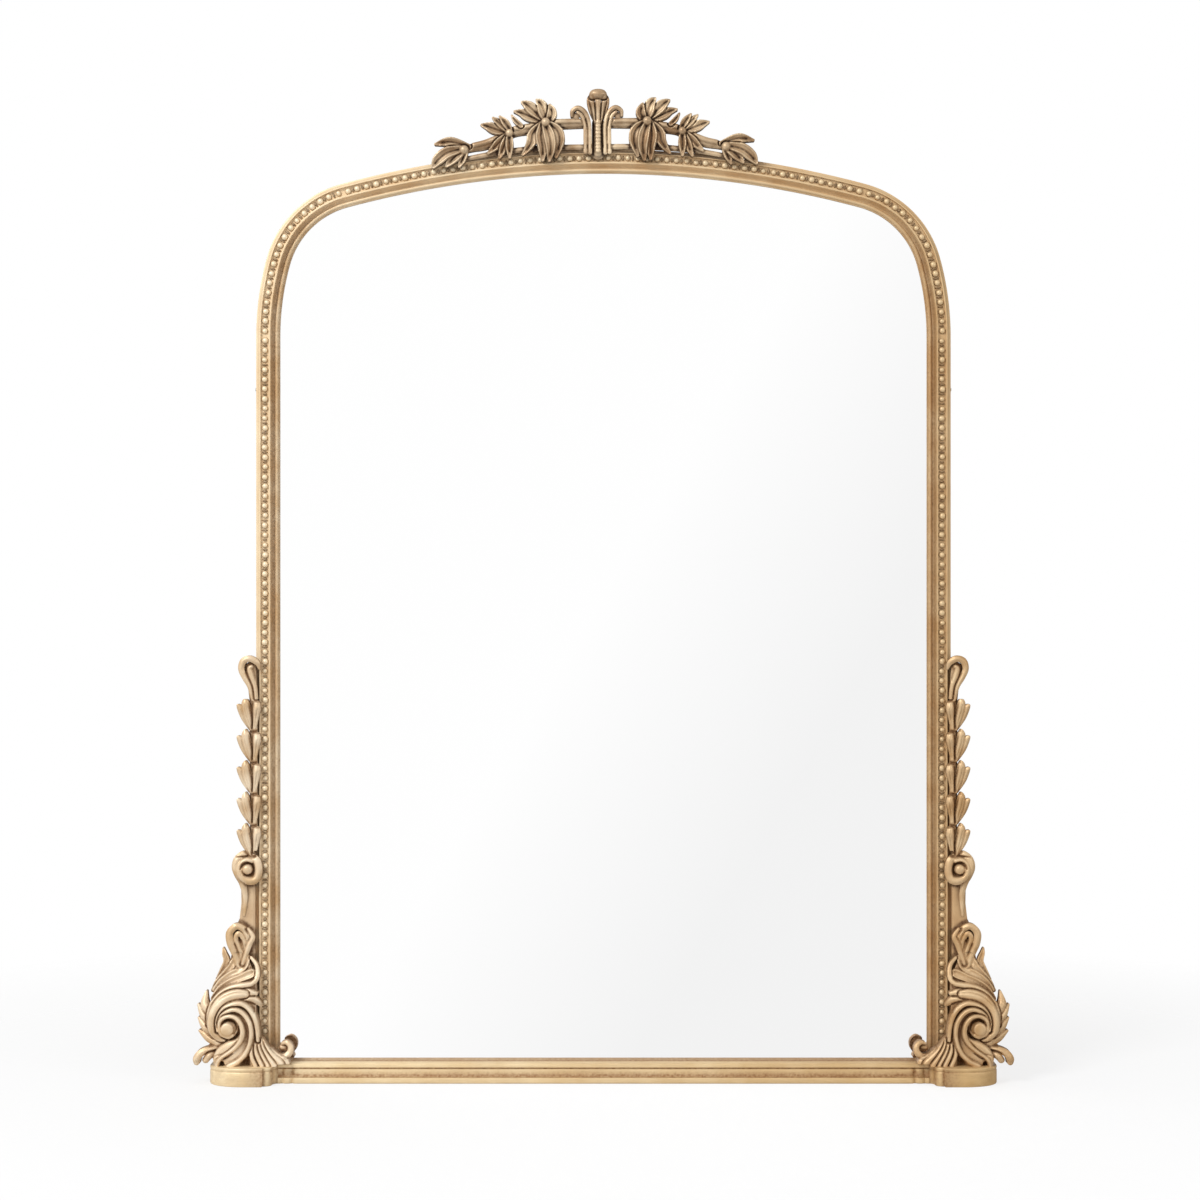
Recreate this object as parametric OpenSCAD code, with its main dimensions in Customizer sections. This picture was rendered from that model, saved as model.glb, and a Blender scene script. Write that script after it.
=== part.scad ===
// Gilt pier mirror: an arched frame with pearl beading, bellflower drops and acanthus feet
// at the sides, serpentine plinths and a leafy crest. It stands on its base and has two
// swinging rings at the back to hang it by.
//
// The frame is drawn lying on its back: x to the right, y up the mirror and z forward from
// the back of the frame. upright() then stands it up, with z upward and the front to -y.

/* [Overall] */
// Depth over everything, from the front of the plinths to the wall
total_d = 62; // [60:0.5:70]

/* [Glass opening] */
// Width of the glass that shows
sight_w = 600; // [560:1:640]
// Height of the base rail, where the glass starts to show
base_h = 19.5; // [19:0.5:24]
// Height at which the straight stiles end
spring_h = 690; // [660:1:740]
// Radius of the long gentle curve above a stile
side_r = 250; // [220:1:300]
// Angle that the gentle curve turns through
side_turn = 15.5; // [13:0.5:18]
// Radius of the tight shoulder curve
shoulder_r = 76; // [68:1:84]
// Direction from the shoulder's centre at which it passes into the top curve
top_start = 75; // [73:0.5:77]

/* [Moulding] */
// Width of the frame moulding
moulding_w = 22; // [21:0.5:25]
// Depth of the frame moulding from back to front
moulding_d = 26; // [25:0.5:29]
// Width of the rebate that holds the glass
rebate_w = 7; // [6:0.5:8]
// Depth of the rebate, from the back of the frame to the front of the glass
rebate_d = 16; // [15:0.5:17.5]
// Diameter of a pearl
pearl_d = 6.8; // [6:0.1:7.2]
// Distance from one pearl to the next
pearl_pitch = 9; // [8:0.1:11]

/* [Glass and backing] */
// Thickness of the mirror glass
glass_t = 4; // [3:0.5:5]
// Space round the edge of the glass in its rebate
glass_gap = 1; // [0.5:0.1:2]
// Thickness of the backing board
backing_t = 5; // [3:0.5:6]

/* [Base] */
// Height of a plinth
plinth_h = 17; // [16.5:0.5:18.5]
// Distance that a plinth reaches out past the glass opening
plinth_w = 63; // [58:0.5:68]
// Distance from the back of the frame to the front of the base rail's lip
rail_d = 33.5; // [31:0.5:36]
// Distance that the base rail's foot stands out past its lip
rail_foot = 3.8; // [2:0.2:4.4]
// Depth of the groove under the top lip of the base
base_groove = 1.2; // [0.8:0.1:1.8]

/* [Side ornament] */
// Thickness of the board behind the side ornament
board_t = 18; // [12:0.5:20]
// Height of the acanthus eye above the plinth
acanthus_eye_h = 35.6; // [34:0.2:37]
// Distance of the acanthus eye outside the stile
acanthus_eye_out = 22.5; // [21:0.5:24]
// Height of the volute's eye above the plinth
volute_eye_h = 180; // [178:0.5:182]
// Height of the lowest bellflower's tip above the plinth
husk_start_h = 221; // [220:0.5:223]
// Distance from one bellflower to the next
husk_pitch = 29; // [28:0.5:30]
// Number of bellflowers in a drop
husk_count = 5; // [3:1:6]

/* [Crest] */
// Distance of the crest's middle left of the frame's middle
crest_left = 5; // [0:0.5:8]
// Height of the plume's tip above the glass opening
crest_h = 75; // [74:0.5:90]
// Width of a spray from the crest's middle to its leaf tips
spray_w = 152; // [140:1:165]
// Width of the right-hand spray as a share of the left-hand one
right_spray_share = 0.96; // [0.9:0.01:1]
// Angle that the right-hand spray is raised by
right_spray_lift = 1.5; // [0:0.1:2]

/* [Hangers] */
// Depth of the hanger pivots below the stiles' upper ends
hanger_drop = 48; // [40:1:90]
// Thickness of the strap
strap_t = 1.2; // [1:0.1:1.6]
// Width of the strap
strap_w = 12; // [11:0.5:14]
// Radius of the ring's pivot bar
pivot_r = 1.5; // [1.3:0.1:1.8]
// Clearance round the pivot bar in the rolled eye
pivot_gap = 0.08; // [0.05:0.01:0.1]
// Radius of the round end of a ring
ring_r = 9; // [8.5:0.5:11]
// Length of the ring's straight sides
ring_leg = 12; // [11:0.5:16]

/* [Fastenings] */
// Diameter of a dowel
dowel_d = 6; // [5:0.5:7]
// Length of a dowel
dowel_len = 28; // [24:1:30]
// Radius of a screw's shank
screw_r = 1.5; // [1.2:0.1:1.8]
// Length of a screw's shank
screw_len = 12; // [9:0.5:13]
// Thickness of a retaining clip
clip_t = 1.2; // [1:0.1:1.5]
// Width of a retaining clip
clip_w = 14; // [12:0.5:18]

/* [Hidden] */
$fn = 48;
GOLD = [0.76, 0.66, 0.51];
OLD_GOLD = [0.62, 0.52, 0.40];
PALE_GOLD = [0.86, 0.78, 0.64];
SILVER = [0.93, 0.94, 0.94];
WOOD = [0.66, 0.52, 0.36];
STEEL = [0.55, 0.55, 0.54];
FELT = [0.28, 0.26, 0.24];

half_w = sight_w / 2;
// The rolled eye stands out furthest at the back, and the bumpers match it.
eye_r = pivot_r + pivot_gap + strap_t;
eye_lift = eye_r + 0.05;
rear_reach = eye_lift + eye_r;
back_y = total_d / 2 - rear_reach;
plinth_d = total_d - rear_reach;

// Centres and radii of the curves above the stiles. The top curve is centred in the
// middle of the frame and touches the shoulder at top_start.
side_c = [half_w - side_r, spring_h];
shoulder_c = side_c + (side_r - shoulder_r) * [cos(side_turn), sin(side_turn)];
top_r = shoulder_r + shoulder_c.x / cos(top_start);
top_c = [0, shoulder_c.y - shoulder_c.x * tan(top_start)];
sight_top = top_c.y + top_r;

// Moulding section
pearl_u = moulding_w - 8.7;
channel_half = pearl_d / 2 + 0.3;
channel_v = moulding_d - pearl_d / 2 - 0.1;
ridge_in_w = 1.6;
ridge_out_w = 1.2;
cove_u = pearl_u - channel_half - ridge_in_w;
dowel_u = moulding_w - 7.5;
dowel_v = 9;
dowel_gap = 0.06;
screw_gap = 0.06;
screw_head_r = 2 * screw_r;
screw_head_h = 1.6;

// Height of the base rail's rounded top where the carvings' backs meet it
lip_from = rebate_d + 3;
lip_depth = rail_d - rebate_d - 4;
rail_lip_h = plinth_h + (base_h - plinth_h) * sqrt(1 - pow((moulding_d - lip_from) / lip_depth, 2));
seat_gap = 0.05;

// Levels behind the glass
glass_v = rebate_d - glass_t;
backing_v = glass_v - backing_t;
glass_out = rebate_w - glass_gap;

// Hangers
hanger_h = spring_h - hanger_drop;
hanger_u = moulding_w / 2 + 3.2;
strap_len = ring_leg + ring_r + 26;
strap_screws = [ring_leg + ring_r + 6.5, strap_len - 7];
eye_len = 10;
ring_wire_r = pivot_r - 0.1;

// Clips: height up a stile, place along the arch and place along the base rail
clip_pitch = 220;
top_clip_h = hanger_h - strap_len - 43;
clip_heights = [for (i = [0 : 2]) top_clip_h - clip_pitch * i];
clip_arch_turns = [-9, 9];
clip_base_places = [-half_w + 130, half_w - 130];
clip_foot = 12;
clip_toe = 6;
clip_screw_u = rebate_w + 6.5;

// Bumpers
bumper_r = 6;
bumper_heights = [plinth_h / 2, spring_h - 12];

// Stile's outer side and the plinth's top, from which the side ornament is set out
stile_x = -(half_w + moulding_w);
stile_foot = [stile_x, plinth_h];
eye_pos = stile_foot + [-acanthus_eye_out, acanthus_eye_h];
volute_pos = stile_foot + [-7, volute_eye_h];
husk_pos = stile_foot + [0, husk_start_h];
hook_pos = husk_pos + [0, husk_pitch * (husk_count - 1)];
crest_pos = [-crest_left, sight_top];

// Where one carving butts against the next: the volute's top above the plinth, the foot of
// the bellflowers' stalk from the lowest tip, and the joints of the acanthus with its crook
// and curls, measured from the acanthus eye
volute_joint = volute_eye_h + 17;
husk_root = volute_joint - husk_start_h;
crook_joint = 66.5;
heel_joint = -18;
corner_joint = 50;

// The volute's tail, from its eye, ends a little above the crook's top.
crook_top = 94.6;
tail_space = 5.8;
volute_tail = acanthus_eye_h + crook_top + tail_space - volute_eye_h;

// ---------------------------------------------------------------- placing

// Stands a shape up that was drawn lying on its back.
module upright() {
    translate([0, back_y, 0]) rotate([90, 0, 0]) children();
}

// Draws the children at the right, or mirrored at the left.
module side(left) {
    mirror([left ? 1 : 0, 0, 0]) children();
}

function turn(a) = [cos(a), sin(a)];

// Points of an arc round c, from angle a to angle b.
function arc(c, r, a, b, n) = [for (i = [0 : n]) c + r * turn(a + (b - a) * i / n)];

// Points of a quarter ellipse with half axes rx and ry.
function oval(c, rx, ry, a, b, n) =
    [for (i = [0 : n]) let(t = a + (b - a) * i / n) c + [rx * cos(t), ry * sin(t)]];

// ---------------------------------------------------------------- frame

// Section of the moulding: x out from the glass opening, y forward from the back. From
// the glass outward: a fillet, a half-round, a cove, a ridge, the pearls' channel, a rim
// and a hollow that falls back to the outer side.
module moulding_section() {
    fillet_w = 1;
    fillet_v = rebate_d + 2.4;
    half_round_r = 1.75;
    half_round_h = 2;
    half_round_v = fillet_v + 0.6;
    half_round_out = fillet_w + 2 * half_round_r;
    ridge_v = moulding_d - 0.2;
    rim_v = moulding_d - 0.6;
    in_u = pearl_u - channel_half;
    out_u = pearl_u + channel_half;
    hollow_u = out_u + ridge_out_w;
    hollow_h = 7;
    polygon(concat(
        [[rebate_w, 0], [moulding_w, 0]],
        oval([moulding_w, rim_v - 0.4], moulding_w - hollow_u, hollow_h, 270, 180, 5),
        [[hollow_u, rim_v], [out_u, rim_v], [out_u, channel_v], [in_u, channel_v],
            [in_u, ridge_v]],
        oval([half_round_out, ridge_v], cove_u - half_round_out,
            ridge_v - half_round_v, 0, -90, 4),
        [for (i = [1 : 5]) [fillet_w + half_round_r * (1 + cos(30 * i)),
            half_round_v + half_round_h * sin(30 * i)]],
        [[fillet_w, half_round_v], [fillet_w, fillet_v], [0, fillet_v], [0, rebate_d],
            [rebate_w, rebate_d]]));
}

// A straight length of moulding at the right, from height y0 to y1.
module straight_moulding(y0, y1) {
    translate([half_w, y1, 0]) rotate([90, 0, 0]) linear_extrude(y1 - y0) moulding_section();
}

// A curved length of moulding round c, from angle a to angle b.
module curved_moulding(c, r, a, b) {
    translate([c.x, c.y, 0]) rotate_extrude(angle = b - a, start = a, $fn = 96)
        translate([r, 0]) moulding_section();
}

// Bore for a dowel whose middle is at p and which points along angle a.
module dowel_hole(p, a) {
    translate([p.x, p.y, dowel_v]) rotate([0, 0, a]) rotate([0, 90, 0])
        cylinder(r = dowel_d / 2 + dowel_gap, h = dowel_len + 0.6, center = true);
}

module dowel(p, a) {
    translate([p.x, p.y, dowel_v]) rotate([0, 0, a]) rotate([0, 90, 0])
        cylinder(r = dowel_d / 2, h = dowel_len, center = true);
}

// Middles of the right-hand dowels and their directions.
stile_dowel = [half_w + dowel_u, plinth_h];
spring_dowel = [half_w + dowel_u, spring_h];
top_dowel = top_c + (top_r + dowel_u) * turn(top_start);
rail_dowel_y = 6.5;
rail_dowel_v = 24;

// Shank hole for a screw driven into the back at p.
module screw_hole(p) {
    translate([p.x, p.y, -1]) cylinder(r = screw_r + screw_gap, h = screw_len + 1.4, $fn = 24);
}

// A screw whose head lies on a plate of thickness t over the back of the frame.
module screw(p, t) {
    translate([p.x, p.y, -t]) {
        cylinder(r = screw_r, h = screw_len + t, $fn = 24);
        translate([0, 0, -screw_head_h]) difference() {
            cylinder(r1 = screw_head_r * 0.8, r2 = screw_head_r, h = screw_head_h, $fn = 32);
            translate([-screw_head_r, -0.4, -1]) cube([screw_head_r * 2, 0.8, 1.7]);
        }
    }
}

// Places of the right-hand screws in a stile: the clips' and the hanger's.
stile_screws = concat(
    [for (y = clip_heights) [half_w + clip_screw_u, y]],
    [for (d = strap_screws) [half_w + hanger_u, hanger_h - d]]);

module stile() {
    difference() {
        straight_moulding(plinth_h, spring_h);
        dowel_hole(stile_dowel, 90);
        dowel_hole(spring_dowel, 90);
        for (p = stile_screws) screw_hole(p);
    }
}

// Both arcs are drawn from the point where they meet, so that their ends match exactly.
module shoulder_arcs() {
    meeting = side_c + side_r * turn(side_turn);
    translate([meeting.x, meeting.y, 0]) rotate([0, 0, side_turn]) {
        curved_moulding([-side_r, 0], side_r, -side_turn, 0);
        curved_moulding([-shoulder_r, 0], shoulder_r, 0, top_start - side_turn);
    }
}

module shoulder() {
    difference() {
        shoulder_arcs();
        dowel_hole(spring_dowel, 90);
        dowel_hole(top_dowel, top_start + 90);
    }
}

module arch_clip_turn(a) {
    translate([top_c.x, top_c.y, 0]) rotate([0, 0, a]) translate([0, top_r, 0])
        rotate([0, 0, 90]) children();
}

module left_stile() { color(GOLD) upright() side(true) stile(); }
module right_stile() { color(GOLD) upright() side(false) stile(); }
module left_shoulder() { color(GOLD) upright() side(true) shoulder(); }
module right_shoulder() { color(GOLD) upright() side(false) shoulder(); }

module arch_rail() {
    color(GOLD) upright() difference() {
        curved_moulding(top_c, top_r, top_start, 180 - top_start);
        for (left = [false, true]) side(left) dowel_hole(top_dowel, top_start + 90);
        for (a = clip_arch_turns) arch_clip_turn(a) screw_hole([clip_screw_u, 0]);
    }
}

// Section of the base rail: x is height and y is depth.
module rail_section() {
    lip_h = 2.8;
    groove_h = 1.4;
    y1 = plinth_h - lip_h - groove_h;
    foot_d = rail_d + rail_foot;
    foot_h = 5.4;
    foot_r = 1.5;
    polygon(concat(
        [[0, 0], [base_h - rebate_w, 0], [base_h - rebate_w, rebate_d], [base_h, rebate_d]],
        oval([plinth_h, lip_from], base_h - plinth_h, lip_depth, 0, 90, 5),
        [[plinth_h - 0.6, rail_d], [plinth_h - lip_h, rail_d],
            [plinth_h - lip_h, rail_d - base_groove - 0.6], [y1, rail_d - base_groove - 0.6]],
        oval([y1, foot_d - 1], y1 - foot_h, foot_d - 1 - rail_d + 0.6, 270, 180, 5),
        [[foot_h, foot_d]], oval([foot_r, foot_d - foot_r], foot_r, foot_r, 90, 180, 3)));
}

module rail_dowel_at(left) {
    side(left) translate([half_w, rail_dowel_y, rail_dowel_v]) rotate([0, 90, 0]) children();
}

module base_rail() {
    color(GOLD) upright() difference() {
        translate([-half_w, 0, 0]) rotate([90, 0, 90]) linear_extrude(sight_w) rail_section();
        for (left = [false, true]) rail_dowel_at(left)
            cylinder(r = dowel_d / 2 + dowel_gap, h = dowel_len + 0.6, center = true);
        for (x = clip_base_places) translate([x, base_h, 0]) rotate([0, 0, -90])
            screw_hole([clip_screw_u, 0]);
    }
}

// Plan of a plinth at the right, drawn in by inset all round its front: a cove next to the
// base rail, a small lobe, a step and a broad lobe that runs round the outer end.
module plinth_plan(inset) {
    cove_r = 10;
    small_w = 9;
    small_d = 5;
    step_d = 4;
    flat_w = 14;
    x0 = half_w;
    x1 = x0 + cove_r;
    x2 = x1 + small_w;
    x3 = x2 + flat_w;
    small_v = plinth_d - step_d - small_d;
    end_rx = x0 + plinth_w - x3;
    end_ry = plinth_d / 2;
    polygon(concat(
        [[x0, 0]],
        arc([x0, small_v], cove_r + inset, -90, 0, 6),
        oval([x2, small_v], small_w - inset, small_d - inset, 180, 90, 6),
        [[x2 + inset, plinth_d - step_d - inset], [x2 + inset, plinth_d - inset]],
        oval([x3, plinth_d - end_ry], end_rx - inset, end_ry - inset, 90, 0, 10),
        [[x0 + plinth_w - inset, 0]]));
}

module plinth_slice(y0, y1, inset) {
    translate([0, y1, 0]) rotate([90, 0, 0]) linear_extrude(y1 - y0) plinth_plan(inset);
}

module plinth() {
    lip_h = 2.8;
    groove_h = 1.4;
    lip_y = plinth_h - lip_h;
    difference() {
        union() {
            plinth_slice(0, lip_y - groove_h, 0);
            plinth_slice(lip_y - groove_h, lip_y, base_groove);
            plinth_slice(lip_y, plinth_h, 0);
        }
        // Corner of the rebate that the glass and its backing stand in
        translate([half_w - 1, base_h - rebate_w, -1])
            cube([rebate_w + 1, plinth_h, rebate_d + 1]);
        dowel_hole(stile_dowel, 90);
        translate([half_w, rail_dowel_y, rail_dowel_v]) rotate([0, 90, 0])
            cylinder(r = dowel_d / 2 + dowel_gap, h = dowel_len + 0.6, center = true);
    }
}

module left_plinth() { color(GOLD) upright() side(true) plinth(); }
module right_plinth() { color(GOLD) upright() side(false) plinth(); }

module frame_dowels() {
    color(WOOD) upright() for (left = [false, true]) {
        side(left) dowel(stile_dowel, 90);
        side(left) dowel(spring_dowel, 90);
        side(left) dowel(top_dowel, top_start + 90);
        rail_dowel_at(left) cylinder(r = dowel_d / 2, h = dowel_len, center = true);
    }
}

// ---------------------------------------------------------------- pearls

// Keeps only what stands in front of the channel's floor.
module seat_pearls(w, h) {
    difference() {
        children();
        translate([-w, -h, channel_v - pearl_d]) cube([2 * w, 2 * h, pearl_d]);
    }
}

module pearl(p) {
    translate([p.x, p.y, channel_v]) sphere(d = pearl_d, $fn = 24);
}

// Pearls spread evenly along an arc of moulding.
module arc_pearls(c, r, a, b) {
    line_r = r + pearl_u;
    n = round(abs(b - a) * PI / 180 * line_r / pearl_pitch);
    for (i = [0 : n - 1]) pearl(c + line_r * turn(a + (b - a) * (i + 0.5) / n));
}

module stile_pearls() {
    n = floor((spring_h - plinth_h - 20) / pearl_pitch);
    seat_pearls(half_w * 2, spring_h * 2) for (i = [0 : n - 1])
        pearl([half_w + pearl_u, spring_h - pearl_pitch * (i + 0.5)]);
}

module shoulder_pearls() {
    seat_pearls(half_w * 2, spring_h * 2) {
        arc_pearls(side_c, side_r, 0, side_turn);
        arc_pearls(shoulder_c, shoulder_r, side_turn, top_start);
    }
}

module left_stile_pearls() { color(PALE_GOLD) upright() side(true) stile_pearls(); }
module right_stile_pearls() { color(PALE_GOLD) upright() side(false) stile_pearls(); }
module left_shoulder_pearls() { color(PALE_GOLD) upright() side(true) shoulder_pearls(); }
module right_shoulder_pearls() { color(PALE_GOLD) upright() side(false) shoulder_pearls(); }

module arch_pearls() {
    color(PALE_GOLD) upright() seat_pearls(half_w * 2, spring_h * 2)
        arc_pearls(top_c, top_r, top_start, 180 - top_start);
}

// ---------------------------------------------------------------- glass and backing

// Outline of the glass opening, spread outward by out.
function opening(out) = let(
        right = concat(
            [[half_w + out, base_h - out]],
            arc(side_c, side_r + out, 0, side_turn, 6),
            arc(shoulder_c, shoulder_r + out, side_turn, top_start, 16),
            arc(top_c, top_r + out, top_start, 90, 14)))
    concat(right, [for (i = [len(right) - 2 : -1 : 0]) [-right[i].x, right[i].y]]);

module mirror_glass() {
    color(SILVER) upright() translate([0, 0, glass_v])
        linear_extrude(glass_t) polygon(opening(glass_out));
}

module backing_board() {
    color(WOOD) upright() translate([0, 0, backing_v])
        linear_extrude(backing_t) polygon(opening(glass_out - 0.5));
}

// A bent clip: its foot lies on the back of the frame and its toe on the backing board.
module clip() {
    wall_u = rebate_w - 0.4;
    translate([0, clip_w / 2, 0]) rotate([90, 0, 0]) linear_extrude(clip_w) polygon([
        [wall_u + clip_foot, -clip_t], [wall_u + clip_foot, 0], [wall_u, 0],
        [wall_u, backing_v], [wall_u - clip_t - clip_toe, backing_v],
        [wall_u - clip_t - clip_toe, backing_v - clip_t],
        [wall_u - clip_t, backing_v - clip_t], [wall_u - clip_t, -clip_t]]);
}

// Puts the children at every clip, with x out from the glass opening.
module at_clips() {
    for (left = [false, true]) side(left)
        for (y = clip_heights) translate([half_w, y, 0]) children();
    for (a = clip_arch_turns) arch_clip_turn(a) children();
    for (x = clip_base_places) translate([x, base_h, 0]) rotate([0, 0, -90]) children();
}

module retaining_clips() {
    color(STEEL) upright() at_clips() difference() {
        clip();
        translate([clip_screw_u, 0, -clip_t - 1])
            cylinder(r = screw_r + screw_gap, h = clip_t + 2, $fn = 24);
    }
}

module clip_screws() {
    color(STEEL) upright() at_clips() screw([clip_screw_u, 0], clip_t);
}

// ---------------------------------------------------------------- hangers

// Strap with a rolled eye at its top. The eye's middle is at the origin in x and y.
module strap() {
    difference() {
        union() {
            translate([-strap_w / 2, -strap_len + strap_w / 2, -strap_t])
                cube([strap_w, strap_len - strap_w / 2 - 2.2, strap_t]);
            translate([0, -strap_len + strap_w / 2, -strap_t])
                cylinder(d = strap_w, h = strap_t);
            translate([-eye_len / 2, -3, -strap_t]) cube([eye_len, 3, strap_t]);
            translate([-eye_len / 2, 0, -eye_lift]) rotate([0, 90, 0])
                cylinder(r = eye_r, h = eye_len);
        }
        translate([-eye_len, 0, -eye_lift]) rotate([0, 90, 0])
            cylinder(r = pivot_r + pivot_gap, h = eye_len * 2);
        for (d = strap_screws) translate([0, -d, -strap_t - 1])
            cylinder(r = screw_r + screw_gap, h = strap_t + 2, $fn = 24);
    }
}

// D-shaped ring that hangs from its straight pivot bar.
module ring() {
    bar_end = ring_r + ring_wire_r + 0.4;
    translate([0, 0, -eye_lift]) {
        translate([-bar_end, 0, 0]) rotate([0, 90, 0])
            cylinder(r = pivot_r, h = 2 * bar_end, $fn = 32);
        for (x = [-ring_r, ring_r]) translate([x, 0, 0]) rotate([90, 0, 0])
            cylinder(r = ring_wire_r, h = ring_leg, $fn = 32);
        translate([0, -ring_leg, 0]) rotate_extrude(angle = 180, start = 180, $fn = 48)
            translate([ring_r, 0]) circle(r = ring_wire_r, $fn = 32);
    }
}

module at_hanger(left) {
    side(left) translate([half_w + hanger_u, hanger_h, 0]) children();
}

module left_hanger_strap() { color(STEEL) upright() at_hanger(true) strap(); }
module right_hanger_strap() { color(STEEL) upright() at_hanger(false) strap(); }
module left_hanger_ring() { color(STEEL) upright() at_hanger(true) ring(); }
module right_hanger_ring() { color(STEEL) upright() at_hanger(false) ring(); }

module hanger_screws() {
    color(STEEL) upright() for (left = [false, true]) at_hanger(left)
        for (d = strap_screws) screw([0, -d], strap_t);
}

module wall_bumpers() {
    color(FELT) upright() for (left = [false, true]) side(left)
        for (y = bumper_heights) translate([half_w + dowel_u, y, -rear_reach])
            cylinder(r = bumper_r, h = rear_reach);
}

// ---------------------------------------------------------------- carving

// A point along a rib is [x, y, half width, height in front of the moulding].
function blend(a, b, c, d, t) =
    0.5 * (2 * b + (c - a) * t + (2 * a - 5 * b + 4 * c - d) * t * t
        + (3 * b - a - 3 * c + d) * t * t * t);

// Smooth curve through the points p, with n steps from one point to the next.
function smooth(p, n) = let(e = len(p) - 1) concat(
    [for (i = [0 : e - 1]) for (k = [0 : n - 1])
        blend(p[max(i - 1, 0)], p[i], p[i + 1], p[min(i + 2, e)], k / n)],
    [p[e]]);

// Rounded cross section of a rib at the place q, square to the direction a. Its sides
// rise to the part edge of its height before they round over.
function rib_section(q, a, edge) = let(
        crown = 1 - (1 - edge) * 0.22,
        outline = [[-1, 0], [-1, edge], [-0.5, crown], [0.5, crown], [1, edge], [1, 0]])
    [for (s = outline)
        [q[0] - s[0] * q[2] * sin(a), q[1] + s[0] * q[2] * cos(a), moulding_d + s[1] * q[3]]];

// A carved rib through the points p, standing on the front plane of the moulding.
module rib(p, n = 1, edge = 0.4) {
    q = smooth(p, n);
    e = len(q) - 1;
    a = [for (i = [0 : e]) let(d = q[min(i + 1, e)] - q[max(i - 1, 0)]) atan2(d[1], d[0])];
    m = 6;
    for (i = [0 : e - 1]) hull() polyhedron(
        concat(rib_section(q[i], a[i], edge), rib_section(q[i + 1], a[i + 1], edge)),
        [[for (k = [0 : m - 1]) k], [for (k = [m - 1 : -1 : 0]) m + k]]);
}

// A flute of the acanthus: a broad rib that stands only a little above the body.
module flute(p, n = 1) {
    rib(p, n, 0.8);
}

// A low dome of radius r and height h at c, with n sides.
module boss(c, r, h, n = 9) {
    steps = [[1, 0.45], [0.7, 0.92]];
    hull() for (s = steps) translate([c.x, c.y, moulding_d]) linear_extrude(s[1] * h + 0.01)
        circle(r = r * s[0], $fn = n);
}

module place(p) {
    translate([p.x, p.y, 0]) children();
}

// The side ornament is drawn for the left, in millimetres from the place that each carving
// is set out from, and mirrored for the right.
module carving(left) {
    color(GOLD) upright() side(!left) children();
}

// One bellflower: its tip is at the origin, its stalk runs down to the next one.
module husk() {
    rib([[-4.2, -27, 1.6, 4], [-10, -17, 2.6, 6], [-13.5, -9, 2.2, 8], [-15.2, -6, 0.8, 9]]);
    rib([[-3.2, -27, 1.8, 5], [-6.5, -15, 2.6, 8], [-8.2, -5, 3.1, 10], [-8, 0, 1.2, 9]]);
    rib([[-1, -27, 2.2, 5], [0.5, -17, 3.2, 8], [2, -9, 4.1, 9], [2, -3.4, 2, 7]]);
}

module husk_drop_shape() {
    run = husk_pitch * (husk_count - 1);
    rib([[-0.5, husk_root - 2, 2.4, 4], [-0.5, run / 2, 2.4, 4], [-0.5, run + 2, 2.4, 4]]);
    for (i = [0 : husk_count - 1]) place([0, husk_pitch * i]) husk();
}

// Looped leaf that closes the top of a drop. The origin is the top bellflower's tip.
module top_hook_shape() {
    rib([[-6.5, -1, 1.6, 5], [-8, 14, 2.4, 7], [-12, 25, 2.6, 8], [-11, 33, 2.8, 9],
        [-4.5, 37, 2.6, 9], [2.5, 33.5, 2.2, 7], [4.6, 28, 0.8, 5]], 2);
    rib([[-5.5, 8, 1.6, 4], [-7, 20, 1.8, 6], [-8, 28, 2, 7], [-3.5, 31.8, 1.9, 7],
        [0.8, 28, 1.4, 5]], 2);
    rib([[-0.5, -1, 2.4, 4], [-0.7, 12, 2.4, 4], [-1.6, 19, 2.6, 5], [-3.4, 27, 3, 6]]);
}

// Scroll with a coiled eye. The origin is the middle of the eye.
module volute_shape() {
    rib([[4, 17, 1.6, 5], [-4, 14, 2.6, 8], [-9, 10, 2.8, 10], [-11, 2, 2.4, 10],
        [-8, -6, 2.6, 9], [-3, -14, 2.6, 7], [0, volute_tail * 0.59, 2.2, 5],
        [-1.5, volute_tail, 3, 4]], 2);
    rib([[4, 11.5, 1.6, 7], [9.5, 7.5, 2.6, 9], [11.5, -1, 2.6, 10], [9.5, -9.5, 2.8, 10],
        [3.5, -11, 2.8, 11], [-3, -8.5, 2.4, 11], [-7, -3, 2, 11], [-6, 4, 1.8, 11],
        [-1.5, 7.6, 1.6, 10], [4, 6.5, 1.2, 9]], 2);
    boss([-0.5, 0], 4.8, 12, 12);
    rib([[1, 8, 4, 5], [1, -10, 5, 5]]);
}

// Shepherd's crook that springs from the acanthus. The origin is the acanthus eye.
module crook_shape() {
    rib([[8, 56, 2.4, 8], [4, 68, 2.8, 9], [0.5, 77, 3, 10], [0, 86, 3, 10],
        [6, 92, 2.6, 10], [13, 89, 2.4, 9], [16, 81, 2, 8], [15, 73, 1.6, 7]], 2);
    rib([[13, 60, 1.8, 7], [8.5, 72, 1.8, 8], [5.5, 81, 1.8, 9], [8.5, 85.5, 1.8, 9],
        [12.5, 80, 1.6, 8], [15, 70, 1.6, 7]], 2);
    rib([[11.5, 57, 1.8, 6], [17.3, 74, 2.2, 7], [21, 82, 1.8, 7], [16.5, 89, 1.2, 6]]);
    rib([[9.6, 58, 5.4, 5], [9.6, 74, 5.6, 5]]);
}

// Curl that overhangs the outer end of the plinth, from the acanthus eye.
module heel_curl_shape() {
    rib([[-12, -21, 2.6, 16], [-22, -24, 3.2, 16], [-30, -29, 3, 15], [-31, -33.5, 2, 12]], 2);
    rib([[-12, -25.9, 2.4, 13], [-19.4, -29.2, 2.9, 13], [-25.3, -32.6, 1.8, 11]]);
}

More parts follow.
